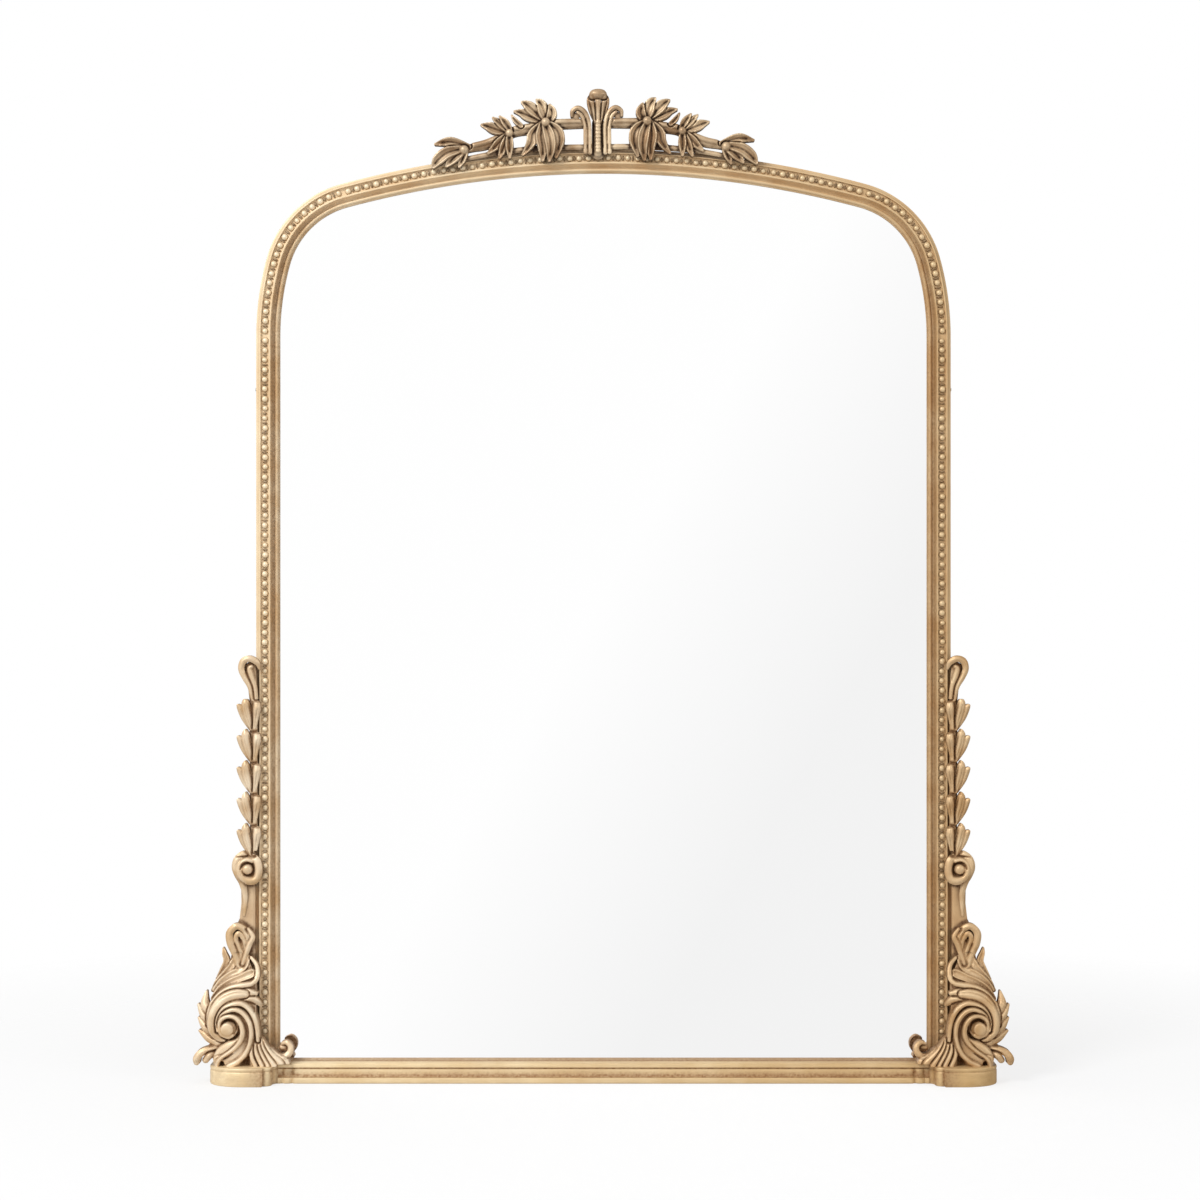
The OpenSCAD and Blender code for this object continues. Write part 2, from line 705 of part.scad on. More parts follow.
// Curl in front of the corner of the glass, from the acanthus eye.
module corner_curl_shape() {
    rib([[27, -10, 1.6, 14], [33, -19.5, 2.4, 14], [41, -26.5, 2.8, 14], [49.5, -28.5, 2.8, 13],
        [55.5, -24.5, 2.6, 12], [55.2, -18, 2.2, 11], [50.5, -17, 1.4, 9]], 2);
}

// The acanthus foot: flutes that rise from the plinth and coil round a raised eye.
// Each flute is a rib, and broad low ribs behind them close the spaces between.
module acanthus_shape() {
    // Body
    rib([[9, -42, 20, 15], [8, -30, 21, 17], [5, -14, 22, 18], [3, 4, 22, 17],
        [4, 20, 20, 14], [7, 38, 17, 11], [9, 54, 10, 8], [8, 62, 7, 6]], 1, 0.5);
    // Eye and the flutes that coil round it
    boss([-0.5, -1], 6.8, 25, 14);
    flute([[-8, 1, 1.6, 21], [-5, 7.6, 2.2, 22], [4, 10.4, 2.6, 23], [10.5, 7, 3, 23],
        [13.8, -1, 3.2, 23], [12, -10, 4, 22], [5.5, -16.5, 5, 22], [-2, -21.5, 5.6, 21],
        [-8, -27, 5, 20], [-9, -38, 4.4, 18]], 2);
    flute([[-8.4, -4, 2, 20], [-8, 6, 3.4, 22], [-3, 14, 3.6, 22], [5, 17.6, 3.6, 22],
        [13.5, 14, 3.4, 22], [18.6, 6, 3, 22], [20, -5, 3, 22], [17.5, -16, 3.8, 22],
        [11.5, -25, 4.2, 22], [4, -32, 4.4, 21], [0, -40, 4.4, 19]], 2);
    flute([[-5, 20.5, 1, 17], [2.6, 23.1, 1.9, 18.6], [11, 22.4, 2.4, 19], [18.4, 17, 2.4, 19],
        [23.4, 9, 2.4, 19], [25, -2, 2.6, 19], [24.4, -14, 3.4, 20], [22, -26, 4.2, 21],
        [24, -39, 4.4, 21]]);
    // Broad flute over the eye, and those that rise above it
    flute([[-1, -12, 1.6, 17], [-8, -9.5, 3, 18], [-14.5, -2, 3.8, 19], [-15.4, 8, 4, 19],
        [-11.5, 18, 4.8, 18], [-4, 26, 5, 17], [6, 30, 4.6, 16], [16, 31.4, 4, 15],
        [25, 30.6, 1.6, 12]]);
    flute([[-19, 2, 1.8, 13], [-18.4, 12, 2.8, 14], [-13.6, 22, 3.4, 15],
        [-6, 31.5, 3.4, 15], [4, 37, 3.2, 14], [14, 39.4, 3, 13], [22, 41, 2.4, 12],
        [27, 44, 1.4, 10]]);
    flute([[-15, 26, 1.8, 11], [-8.5, 34.5, 3, 12], [1, 41, 3.4, 12], [10, 44.4, 3.4, 12],
        [18, 47.4, 3.6, 11], [22, 50, 2.2, 10]]);
    flute([[-14, 33.5, 1.8, 10], [-7.5, 41, 3, 11], [1, 48, 3.4, 11], [9, 52, 3.4, 10],
        [16, 55.5, 3, 9], [18.5, 60, 1.4, 7]]);
    flute([[-15.5, 33, 1.6, 9], [-11, 40.5, 2.6, 10], [-5, 47.5, 3, 10],
        [1, 54.5, 3, 9], [4.5, 61.5, 2.4, 8], [4, 66, 1.4, 6]]);
    flute([[-11, 43.5, 1.8, 8], [-6, 52, 2.8, 8], [-4, 60, 2.6, 8], [-7, 68, 1.4, 7],
        [-8, 71.5, 0.7, 6]]);
    // Teeth down the outer side
    tips = [[-21.5, 32], [-28, 19.5], [-28.5, 7.5], [-27.5, -4], [-19, -16]];
    roots = [[-13, 15], [-14, 7], [-14, -4], [-11, -12], [-3, -18]];
    for (i = [0 : len(tips) - 1]) let(t = tips[i], r = roots[i], m = (t + r) / 2)
        rib([[r.x, r.y, 5, 15], [m.x - 1.5, m.y - 1, 5, 12], [t.x, t.y, 0.7, 8]], 1, 0.6);
    // Lobes over the stile
    rib([[16, 23, 3.4, 15], [24, 21, 3, 12], [30, 17.5, 0.9, 8]], 1, 0.6);
    rib([[14, 28, 3, 16], [22, 27, 3, 13], [29.5, 24, 1, 9]], 1, 0.6);
    // Fan of flutes that spreads over the corner of the base
    starts = [[25.5, -5], [27, -8], [28.5, -11], [30, -14]];
    ends = [[31, -39], [38.5, -39], [46.5, -39], [53, -38]];
    for (i = [0 : len(ends) - 1]) let(s = starts[i], e = ends[i], m = (s + e) / 2)
        flute([[s.x, s.y, 2, 14], [m.x - 2.5 + i * 0.3, m.y - 2 - 1.2 * i, 3, 17],
            [e.x, e.y, 3.8, 19]]);
}

// Keeps the part of a carving that lies within the box from a to b, seen from the front.
module clip_to(a, b) {
    intersection() {
        children();
        translate([a.x, a.y, 0]) cube([b.x - a.x, b.y - a.y, moulding_d + plinth_d]);
    }
}

far = 400;

module top_hook() {
    place(hook_pos) clip_to([-far, 0], [far, far]) top_hook_shape();
}

module husk_drop() {
    place(husk_pos) clip_to([-far, husk_root], [far, husk_pitch * (husk_count - 1)])
        husk_drop_shape();
}

module volute() {
    place(volute_pos) clip_to([-far, -far], [far, volute_joint - volute_eye_h])
        volute_shape();
}

module crook() {
    place(eye_pos) clip_to([-far, crook_joint], [far, far]) crook_shape();
}

module heel_curl() {
    place(eye_pos) clip_to([-far, -acanthus_eye_h], [heel_joint, far]) heel_curl_shape();
}

module corner_curl() {
    place(eye_pos) clip_to([corner_joint, -far], [far, far]) corner_curl_shape();
}

// The acanthus carries the roots of the crook and of the two curls.
module rooted_acanthus() {
    acanthus_shape();
    clip_to([-far, -far], [far, crook_joint]) crook_shape();
    clip_to([heel_joint, -far], [far, far]) heel_curl_shape();
    clip_to([-far, -far], [corner_joint, far]) corner_curl_shape();
}

// Its foot stands on the plinth and, beyond the plinth's inner end, on the base rail.
module acanthus() {
    inner_end = -half_w - eye_pos.x;
    place(eye_pos) {
        clip_to([-far, -acanthus_eye_h], [inner_end, far]) rooted_acanthus();
        clip_to([inner_end, rail_lip_h + seat_gap - eye_pos.y], [far, far]) rooted_acanthus();
    }
}

module left_top_hook() { carving(true) top_hook(); }
module right_top_hook() { carving(false) top_hook(); }
module left_husk_drop() { carving(true) husk_drop(); }
module right_husk_drop() { carving(false) husk_drop(); }
module left_volute() { carving(true) volute(); }
module right_volute() { carving(false) volute(); }
module left_crook() { carving(true) crook(); }
module right_crook() { carving(false) crook(); }
module left_heel_curl() { carving(true) heel_curl(); }
module right_heel_curl() { carving(false) heel_curl(); }
module left_corner_curl() { carving(true) corner_curl(); }
module right_corner_curl() { carving(false) corner_curl(); }
module left_acanthus() { carving(true) acanthus(); }
module right_acanthus() { carving(false) acanthus(); }

// Board behind the side ornament, against the outer side of the stile.
module wing_board() {
    top = hook_pos.y - plinth_h;
    eye = acanthus_eye_h;
    e = -acanthus_eye_out;
    v = volute_eye_h;
    h = husk_start_h;
    translate([0, 0, moulding_d - board_t]) linear_extrude(board_t)
        place(stile_foot) polygon([
            [0, 0], [e + 2, 0], [e - 9, 6], [e - 17, eye - 12], [e - 18, eye + 10],
            [e - 15, eye + 25], [e - 9, eye + 40], [e - 1, eye + 56], [e + 3, eye + 68],
            [e + 2, eye + 78], [e + 2, eye + 86], [e + 5, eye + 92], [e + 8, eye + 98],
            [e + 9.7, v - 32], [e + 9.5, v - 20], [e + 8, v - 13], [e + 5, v - 5],
            [e + 5, v + 3], [e + 8, v + 11], [e + 14, v + 16], [-5, h - 20], [-5.5, top],
            [-7, top + 14], [-10, top + 24], [-9, top + 32], [-4, top + 35.5],
            [0, top + 35]]);
}

module left_wing_board() { color(OLD_GOLD) upright() wing_board(); }
module right_wing_board() { color(OLD_GOLD) upright() side(true) wing_board(); }

// ---------------------------------------------------------------- crest

// Height and width that the crest's carvings are drawn at.
drawn_crest_h = 75;
drawn_spray_w = 152;

// Fluted feather on a knotted stem. The origin is the top of the glass opening.
module plume_shape() {
    tip = drawn_crest_h;
    rib([[0, 42, 2.6, 8], [0, tip - 16, 3.4, 10], [0, tip - 5, 4, 12], [0, tip, 2, 11]]);
    for (s = [-1, 1]) {
        rib([[s * 1.5, 44, 2, 7], [s * 4.5, tip - 16, 2.6, 9], [s * 6.6, tip - 7, 3, 11],
            [s * 5.4, tip - 1.2, 1.6, 10]]);
        rib([[s * 2.5, 46, 1.4, 6], [s * 6.6, tip - 19, 2, 8], [s * 8.6, tip - 11, 2, 9],
            [s * 8.8, tip - 5.5, 1, 8]]);
    }
    for (i = [0 : 4]) rib([[0, 17 + 5.6 * i, 2.4, 5], [0, 19.8 + 5.6 * i, 4.8 - 0.2 * i, 9],
        [0, 22.6 + 5.6 * i, 2.4, 5]]);
    rib([[0, 16, 3.4, 6], [0, 46, 3.4, 6]]);
}

// Left-hand spray: a C-scroll, a branch with two groups of leaves, and a leafy end. A low
// rail along the arch ties its feet together.
module spray_shape() {
    // Scroll, branch and rail
    rib([[-9.4, 17, 3.5, 7], [-9.4, 30, 3.5, 8], [-9.8, 43, 3.2, 9], [-13, 52.5, 3, 10],
        [-18.4, 57.2, 2.5, 10], [-23.7, 54.3, 1.9, 9], [-23.2, 50.2, 1.2, 8]], 2);
    rib([[-11, 44, 4, 7], [-28, 43.5, 4.2, 7], [-46, 42.5, 4.4, 8], [-62, 39, 4.6, 8],
        [-78, 36, 4.4, 8], [-90, 29.5, 4.4, 8], [-104, 24, 4, 8], [-116, 21.5, 3.4, 8],
        [-128, 18, 2.6, 8]]);
    rib([[-7, 22.4, 2.2, 4.6], [-33, 22.1, 2.2, 4.7], [-66, 20.3, 2.3, 4.7], [-95, 16.7, 2, 4.6],
        [-121, 11.7, 1.8, 4.6]]);
    boss([-20.2, 50.6], 3.2, 8);
    // Bud and leaves at the middle of the branch
    boss([-48.4, 44.4], 4.4, 14.5);
    rib([[-48.5, 46, 2, 8], [-60, 56, 5.2, 11], [-66, 61, 3, 10.5], [-70, 63, 0.9, 9]]);
    rib([[-50, 45, 2, 8.2], [-63.3, 50.4, 5, 10.5], [-71, 53.4, 2.8, 10], [-77, 54.5, 0.8, 9]]);
    rib([[-47.4, 46, 2.6, 9], [-49.5, 54, 5.6, 12], [-52.5, 61, 4, 11], [-56.5, 65, 0.9, 9.5]]);
    rib([[-46, 45, 3, 8.5], [-42.5, 52.5, 4.4, 10.5], [-44.5, 60, 1.4, 9]]);
    rib([[-71, 41.5, 2, 8.5], [-76, 46, 2, 8.8], [-79.5, 51, 0.7, 7]]);
    rib([[-46, 43, 3, 10], [-37.8, 37, 4.5, 12], [-35.2, 27, 4.2, 12], [-38.5, 13, 1.2, 9]]);
    rib([[-49, 43, 3, 11], [-45, 32, 5.4, 14], [-43.5, 21, 4.4, 13], [-45, 9.5, 1.2, 9]]);
    rib([[-51, 43, 3, 10.4], [-52.5, 32, 5, 13], [-51, 21, 4.2, 12], [-51, 10, 1.2, 9]]);
    rib([[-53, 42.6, 2.6, 9], [-60, 34, 4.4, 11], [-62, 25, 4, 11], [-69.3, 15, 1, 8]]);
    // Sprig further out
    boss([-81.8, 34.8], 3.8, 11.5);
    rib([[-82, 34, 2, 8.4], [-95, 38.5, 4.8, 10], [-102, 41, 3, 9.5], [-107.5, 42.3, 0.8, 8]]);
    rib([[-81.5, 36, 2, 8.5], [-89.5, 43, 3.4, 10], [-96.8, 48.8, 0.8, 8]]);
    rib([[-80.6, 36.8, 2, 8.2], [-85, 43.5, 3.2, 10.2], [-90.5, 49.8, 0.9, 8]]);
    low = [[-101, 16.5, 4.4], [-91, 12, 4], [-81.5, 12.5, 3.8]];
    for (t = low) rib([[-80.5 + t.x / 60, 34.6 - t.y / 30, 2.2, 8.6],
        [(t.x - 82) / 2, (t.y + 34) / 2, t.z, 10], [t.x, t.y, 1, 8]]);
    // Leaves at the end
    boss([-123.6, 19.4], 4.8, 10.6);
    rib([[-119, 22.4, 2, 8.2], [-136, 26.5, 4, 11], [-150, 24.5, 0.9, 8]]);
    rib([[-123, 20.8, 2.7, 8.5], [-138, 16.8, 5, 11], [-147, 10.5, 4.8, 10], [-152, 4, 1.6, 8]]);
    rib([[-122.4, 20, 2.5, 8.8], [-132, 13, 4.8, 10], [-139.5, 4.5, 1, 8]]);
    rib([[-121.6, 20.6, 2.1, 8.1], [-124.5, 12, 3.2, 9], [-128, 4, 0.9, 7]]);
}

module crest_plume() {
    color(OLD_GOLD) upright() place(crest_pos) scale([1, crest_h / drawn_crest_h, 1])
        plume_shape();
}

module crest_spray(left) {
    share = left ? 1 : right_spray_share;
    color(OLD_GOLD) upright() place(crest_pos) side(!left)
        rotate([0, 0, left ? 0 : -right_spray_lift])
            scale([share * spray_w / drawn_spray_w, crest_h / drawn_crest_h, 1]) spray_shape();
}

module left_crest_spray() { crest_spray(true); }
module right_crest_spray() { crest_spray(false); }

// ---------------------------------------------------------------- pieces

left_stile();
right_stile();
left_shoulder();
right_shoulder();
arch_rail();
base_rail();
left_plinth();
right_plinth();
left_wing_board();
right_wing_board();
left_stile_pearls();
right_stile_pearls();
left_shoulder_pearls();
right_shoulder_pearls();
arch_pearls();
crest_plume();
left_crest_spray();
right_crest_spray();
left_top_hook();
right_top_hook();
left_husk_drop();
right_husk_drop();
left_volute();
right_volute();
left_crook();
right_crook();
left_acanthus();
right_acanthus();
left_heel_curl();
right_heel_curl();
left_corner_curl();
right_corner_curl();
mirror_glass();
backing_board();
retaining_clips();
clip_screws();
left_hanger_strap();
right_hanger_strap();
left_hanger_ring();
right_hanger_ring();
hanger_screws();
wall_bumpers();
frame_dowels();
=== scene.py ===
"""Pier mirror: gilt moulded frame with pearls, carved sides, a leafy crest and hanging rings.

Shapes are worked out in bench millimetres (x right, h up the mirror, d forward from the back
of the frame) and are put into the scene in metres. Carvings are reliefs: a height over a flat
grid, built up from strokes, then closed by side walls and a flat back.
"""
import math

import bpy
import numpy as np
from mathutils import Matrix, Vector


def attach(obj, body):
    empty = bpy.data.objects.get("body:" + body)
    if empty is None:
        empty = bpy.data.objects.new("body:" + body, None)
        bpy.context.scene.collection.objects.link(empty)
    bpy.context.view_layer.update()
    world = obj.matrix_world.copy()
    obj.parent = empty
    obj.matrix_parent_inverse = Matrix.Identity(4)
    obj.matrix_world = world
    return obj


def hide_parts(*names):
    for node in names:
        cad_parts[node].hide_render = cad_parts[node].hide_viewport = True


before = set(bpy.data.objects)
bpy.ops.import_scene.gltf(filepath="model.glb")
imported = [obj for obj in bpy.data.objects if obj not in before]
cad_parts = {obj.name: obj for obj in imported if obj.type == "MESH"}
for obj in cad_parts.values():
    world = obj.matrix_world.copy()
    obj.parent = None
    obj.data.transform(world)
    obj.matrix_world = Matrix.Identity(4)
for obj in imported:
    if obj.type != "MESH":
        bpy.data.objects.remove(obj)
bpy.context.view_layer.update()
rng = np.random.default_rng(11)

MM = 0.001


def turn(degrees):
    """Unit directions at angles that open from the first axis to the second."""
    a = np.radians(degrees)
    return np.stack([np.cos(a), np.sin(a)], -1)


# -------------------------------- sizes, in millimetres

BACK_Y = 25.39                          # scene y of the frame's back
HALF_W, SPRING_H = 300.0, 690.0         # glass opening: half its width, and where its sides end
SIDE_R, SIDE_TURN = 250.0, 15.5         # slow bend of the shoulder, up to this angle
SHOULDER_R, TOP_START = 76.0, 75.0      # quick bend, up to the angle where the arch starts
SIDE_C = np.array([HALF_W - SIDE_R, SPRING_H])
SHOULDER_C = SIDE_C + (SIDE_R - SHOULDER_R) * turn(SIDE_TURN)
TOP_R = SHOULDER_R + SHOULDER_C[0] / math.cos(math.radians(TOP_START))
TOP_C = np.array([0.0, SHOULDER_C[1] - SHOULDER_C[0] * math.tan(math.radians(TOP_START))])
SIGHT_TOP = TOP_C[1] + TOP_R

MOULDING_W, MOULDING_D = 22.0, 26.0
REBATE_W, REBATE_D = 7.0, 16.0
PEARL_U, PEARL_D, PEARL_PITCH = 13.3, 6.6, 9.0      # distance out from the glass, size, pitch
CHANNEL_V, CHANNEL_HALF = 22.5, 3.7                 # depth and half width of the pearls' channel
CHANNEL_EDGE = 4.4                                  # its half width with its rounded edges

PLINTH_H, PLINTH_W, PLINTH_D = 17.0, 63.0, 56.39
BASE_H, RAIL_D, RAIL_FOOT = 19.5, 33.5, 3.8
FOLDS = ((HALF_W - 4, 0.6), (HALF_W - 13, 0.9))     # folds in the rail's ends: place, strength
BOARD_T = 18.0                                      # thickness of the wing boards

# Places x, h on the left side, and the lines where one casting ends and the next begins
STILE_FOOT = np.array([-322.0, 17.0])
EYE = np.array([-344.5, 52.6])                      # eye of the acanthus scroll
VOLUTE = np.array([-329.0, 197.0])
HUSKS, HUSK_PITCH, HUSK_COUNT = np.array([-322.0, 238.0]), 29.0, 5
HOOK = np.array([-322.0, 354.0])
CROOK_Y, VOLUTE_Y, HOOK_Y = EYE[1] + 66.5, PLINTH_H + 197, HOOK[1]
HEEL_X, CORNER_X = EYE[0] - 18, EYE[0] + 50
CORNER_FOOT = PLINTH_H + 2.19                       # underside of the foot beyond the stile
CREST = np.array([-5.0, SIGHT_TOP])
SPRAY_SHARE, SPRAY_LIFT = 0.96, 1.5                 # width and turn of the right-hand spray


# -------------------------------- meshes

def in_scene(data, name):
    """An object for a mesh, lamp or camera, put into the scene."""
    made = bpy.data.objects.new(name, data)
    bpy.context.scene.collection.objects.link(made)
    return made


def make(name, points, faces, node, slot, marks, sharp=50, flip=False):
    """A piece of the frame from bench points (x, h, d) and a list of face arrays.

    In the scene x stays, h is up and d runs forward. A flip turns x round, and each face with
    it. Edges that turn by more than sharp degrees stay crisp. The piece rides on the frame,
    stands for the CAD node and takes its finish from the slot. Marks are per-point values from
    0 to 1 that the materials read.
    """
    points = points.reshape(-1, 3)
    if flip:
        points, faces = points * [-1, 1, 1], [f[:, ::-1] for f in faces]
    places = np.stack([points[:, 0], BACK_Y - points[:, 2], points[:, 1]], -1) * MM
    corners = np.concatenate([block.ravel() for block in faces])
    sides = np.concatenate([np.full(len(block), block.shape[1]) for block in faces])
    mesh = bpy.data.meshes.new(name)
    mesh.vertices.add(len(places))
    mesh.vertices.foreach_set("co", places.astype(np.float32).ravel())
    mesh.loops.add(len(corners))
    mesh.loops.foreach_set("vertex_index", corners.astype(np.int32))
    mesh.polygons.add(len(sides))
    mesh.polygons.foreach_set("loop_start", (np.cumsum(sides) - sides).astype(np.int32))
    mesh.polygons.foreach_set("use_smooth", np.ones(len(sides), bool))
    mesh.update(calc_edges=True)
    mesh.validate()
    mesh.set_sharp_from_angle(angle=math.radians(sharp))
    for key, values in marks.items():
        layer = mesh.attributes.new(key, "FLOAT", "POINT")
        layer.data.foreach_set("value", np.clip(values, 0, 1).astype(np.float32).ravel())
    mesh.materials.append(FINISHES[slot])
    piece = in_scene(mesh, name)
    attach(piece, "frame")
    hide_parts(node)


def ring_faces(rows, cols):
    """Quads between neighbouring rows of points, each row a ring closed on itself."""
    i, j = np.arange(rows - 1)[:, None] * cols, np.arange(cols)
    k = (j + 1) % cols
    return np.stack([i + j, i + cols + j, i + cols + k, i + k], -1).reshape(-1, 4)


def tube(rings):
    """A row of rings and its faces, closed flat at the two ends."""
    rows, cols = rings.shape[:2]
    end = np.arange(cols)[None]
    return rings, [ring_faces(rows, cols), end, (rows - 1) * cols + end[:, ::-1]]


def soften(values, passes):
    """Spreads a grid of values by a repeated 1-2-1 average along both directions."""
    for _ in range(passes):
        for axis in (0, 1):
            before = np.concatenate([np.take(values, [0], axis), np.delete(values, -1, axis)], axis)
            after = np.concatenate([np.delete(values, 0, axis), np.take(values, [-1], axis)], axis)
            values = 0.25 * before + 0.5 * values + 0.25 * after
    return values


# -------------------------------- relief carving

CELL = 0.4          # grid step of a carving
WALL = 1.6          # width over which a stroke's edge falls away
RIM = 0.3           # distance that the outline lies outside a stroke's half width
MOAT = 0.9          # width of the cut line that a stroke leaves in the strokes under it
BANK, BANK_W = 5.0, 2.0     # slope of the cut line's far side, and its width
HOLLOW = 2.6        # greatest depth of a hollow blade
BED = 1.0           # height that a groove leaves standing
FULL_IN = 0.35      # distance inside the outline from which a height counts as carved
LAP = 0.55          # distance inside the outline at which a border place takes its height
THINNEST = 0.4      # least thickness of a carving
WORN_RIM = 0.8      # width over which a composition's edge is rubbed down
RIM_DROP, RIM_RECESS = 0.4, 0.3     # how far down it is rubbed, and its recess mark
SKY_REACHES = (2, 3, 5, 8)          # cells away at which a hollow looks for what hides the sky
FAR = 9.0           # a distance past any that counts


def smooth(points, steps):
    """Catmull-Rom curve through the points, with the given steps from one to the next."""
    p = np.asarray(points, float)
    q = np.vstack([p[:1], p, p[-1:]])
    t = (np.arange(steps) / steps)[:, None]
    parts = [0.5 * (2 * b + (c - a) * t + (2 * a - 5 * b + 4 * c - d) * t ** 2
                    + (3 * b - a - 3 * c + d) * t ** 3)
             for a, b, c, d in zip(q[:-3], q[1:-2], q[2:-1], q[3:])]
    return np.vstack(parts + [p[-1:]])


def stroke(line, edge=0.0, form="round", cut=0.0):
    """A stroke along a line of places x, y, half width and height. Edge is the share of its
    height that its sides rise to before they round over, and cut is how deep a line it leaves
    round itself in the strokes under it."""
    return {"line": np.asarray(line, float), "edge": edge, "form": form, "cut": cut}


def rib(points, edge=0.4, form="round", steps=8, cut=0.0):
    """A raised stroke."""
    return stroke(smooth(points, steps), edge, form, cut)


def leaf(points, edge=0.8, cut=3.5):
    """A broad stroke with a hollow blade and raised borders."""
    return rib(points, edge, "spoon", cut=cut)


def flute(points):
    """A leaf with upright borders."""
    return leaf(points, 0.86, 4.0)


def groove(points, steps=8):
    """A cut line. Each point is x, y, half width and depth."""
    return stroke(smooth(points, steps), form="groove")


def dome(x, y, radius, height, edge=0.45, cut=3.0):
    """A round boss."""
    return stroke([[x, y, radius, height], [x + 0.01, y, radius, height]], edge, cut=cut)


def along(a, b, x, y):
    """For each grid place and each segment from a to b, the share of the way at which the
    segment comes nearest, and its distance there."""
    run = b[:, :2] - a[:, :2]
    dx, dy = x[..., None] - a[:, 0], y[..., None] - a[:, 1]
    t = (dx * run[:, 0] + dy * run[:, 1]) / np.maximum((run ** 2).sum(1), 1e-9)
    t = np.clip(t, 0, 1)
    return t, np.hypot(dx - t * run[:, 0], dy - t * run[:, 1])


def nearest(line, x, y):
    """For each grid place, the nearest place on a line of segments: its distance, and the
    half width and height there."""
    a, b = line[:-1], line[1:]
    t, gap = along(a, b, x, y)
    pick = np.argmin(gap - (a[:, 2] + t * (b[:, 2] - a[:, 2])), -1)
    t, gap = (np.take_along_axis(v, pick[..., None], -1)[..., 0] for v in (t, gap))
    width, height = (a[pick, k] + t * (b[pick, k] - a[pick, k]) for k in (2, 3))
    return gap, width, height


def stroke_profile(gap, width, height, edge, form):
    """Height of a stroke by the distance from its middle line.

    Round: a half ellipse, at most 1.1 half widths high, on upright sides. Spoon: a hollow out
    to 0.82 of the half width, and a border that rounds over in the last fifth. Past the half
    width both fall to nothing over the width of a wall.
    """
    q = np.clip(gap / np.maximum(width, 0.05), 0, 1)
    crown = (1 - edge) * height
    if form == "spoon":
        hollow = np.minimum(0.9 * width, HOLLOW) * np.clip(1 - (q / 0.82) ** 2, 0, 1) ** 0.8
        border = np.minimum(crown, 0.5 * width) * np.clip((q - 0.8) / 0.2, 0, 1) ** 2
        top = height - hollow - border
    else:
        top = height - np.minimum(crown, 1.1 * width) * (1 - np.sqrt(1 - (0.94 * q) ** 2))
    return np.where(gap <= width, top, top * np.clip(1 - (gap - width) / WALL, 0, 1))


def carve(strokes, x, y):
    """Height over the grid and signed distance to the outline (negative inside)."""
    high = np.zeros(x.shape)
    out = np.full(x.shape, FAR)
    for s in strokes:
        line = s["line"]
        reach = line[:, 2].max() + WALL + 2
        cols, rows = ((axis > line[:, k].min() - reach) & (axis < line[:, k].max() + reach)
                      for k, axis in ((0, x[0]), (1, y[:, 0])))
        if not cols.any() or not rows.any():
            continue
        window = np.ix_(rows, cols)
        gap, width, height = nearest(line, x[window], y[window])
        under = high[window]
        if s["form"] == "groove":  # cuts, but draws no outline
            depth = height * np.clip(1 - (gap / width) ** 2, 0, 1)
            high[window] = np.maximum(under - depth, np.minimum(under, BED))
            continue
        if s["cut"]:
            past = gap - width - MOAT
            level = height - s["cut"] + BANK * np.maximum(past, 0)
            under = np.where(past < BANK_W, np.minimum(under, level), under)
        profile = stroke_profile(gap, width, height, s["edge"], s["form"])
        high[window] = np.maximum(under, profile)
        out[window] = np.minimum(out[window], gap - width - RIM)
    return high, out


def shifted(values, rows, cols):
    """The grid moved by whole cells, with its border carried on."""
    i, j = (np.clip(np.arange(n) + by, 0, n - 1) for n, by in zip(values.shape, (rows, cols)))
    return values[np.ix_(i, j)]


def mean_inside(values, share, passes, least):
    """Softened values, of which each place counts by its share."""
    return soften(values * share, passes) / np.maximum(soften(share, passes), least)


def rubbed(high, out, near=2, far=8):
    """The relief with its arrises rubbed down a little, by the near passes of softening. Only
    places inside the outline count, so the heights run level up to it instead of falling away.
    Past it, where those passes find nothing, the far ones carry the heights on."""
    share = (out < -FULL_IN).astype(float)
    rubbed_down, carried = (mean_inside(high, share, passes, 1e-6) for passes in (near, far))
    carried = np.where(soften(share, far) > 1e-4, carried, high)
    return np.where(soften(share, near) > 0.05, rubbed_down, carried)


def hollows(high, inside, near=8, broad=70):
    """Marks of a relief. Recess: how much of the sky the surface round a place hides, from the
    steepest rise in each of eight directions, and how far it lies under the broad mean. Worn and
    highlight: how far it stands over the near mean, for tops that are rubbed pale and painted pale
    as highlight."""
    near, broad = (mean_inside(high, inside.astype(float), n, 0.05) for n in (near, broad))
    hidden = np.zeros(high.shape)
    for towards in turn(np.arange(0, 360, 45)):
        rise = np.zeros(high.shape)
        for reach in SKY_REACHES:
            j, i = np.rint(reach * towards).astype(int)
            slope = (shifted(high, i, j) - high) / (CELL * math.hypot(i, j))
            rise = np.maximum(rise, slope)
        hidden += rise ** 2 / (1 + rise ** 2) / 8
    low = np.clip((hidden - 0.1) / 0.5, 0, 1) + np.clip((broad - high - 0.3) / 5.0, 0, 0.45)
    return np.clip(low, 0, 1) * inside, np.clip((high - near) / 1.1, 0, 1) * inside


def sampled(values, cols, rows):
    """Values of a grid between its places."""
    i, j = (np.clip(np.floor(at).astype(int), 0, n - 2)
            for at, n in zip((rows, cols), values.shape))
    u, v = np.clip(cols - j, 0, 1), np.clip(rows - i, 0, 1)
    return ((1 - v) * ((1 - u) * values[i, j] + u * values[i, j + 1])
            + v * ((1 - u) * values[i + 1, j] + u * values[i + 1, j + 1]))


def all_four(values):
    """Whether each place and its neighbours to the right, above and across are all true."""
    return values[:-1, :-1] & values[1:, :-1] & values[:-1, 1:] & values[1:, 1:]


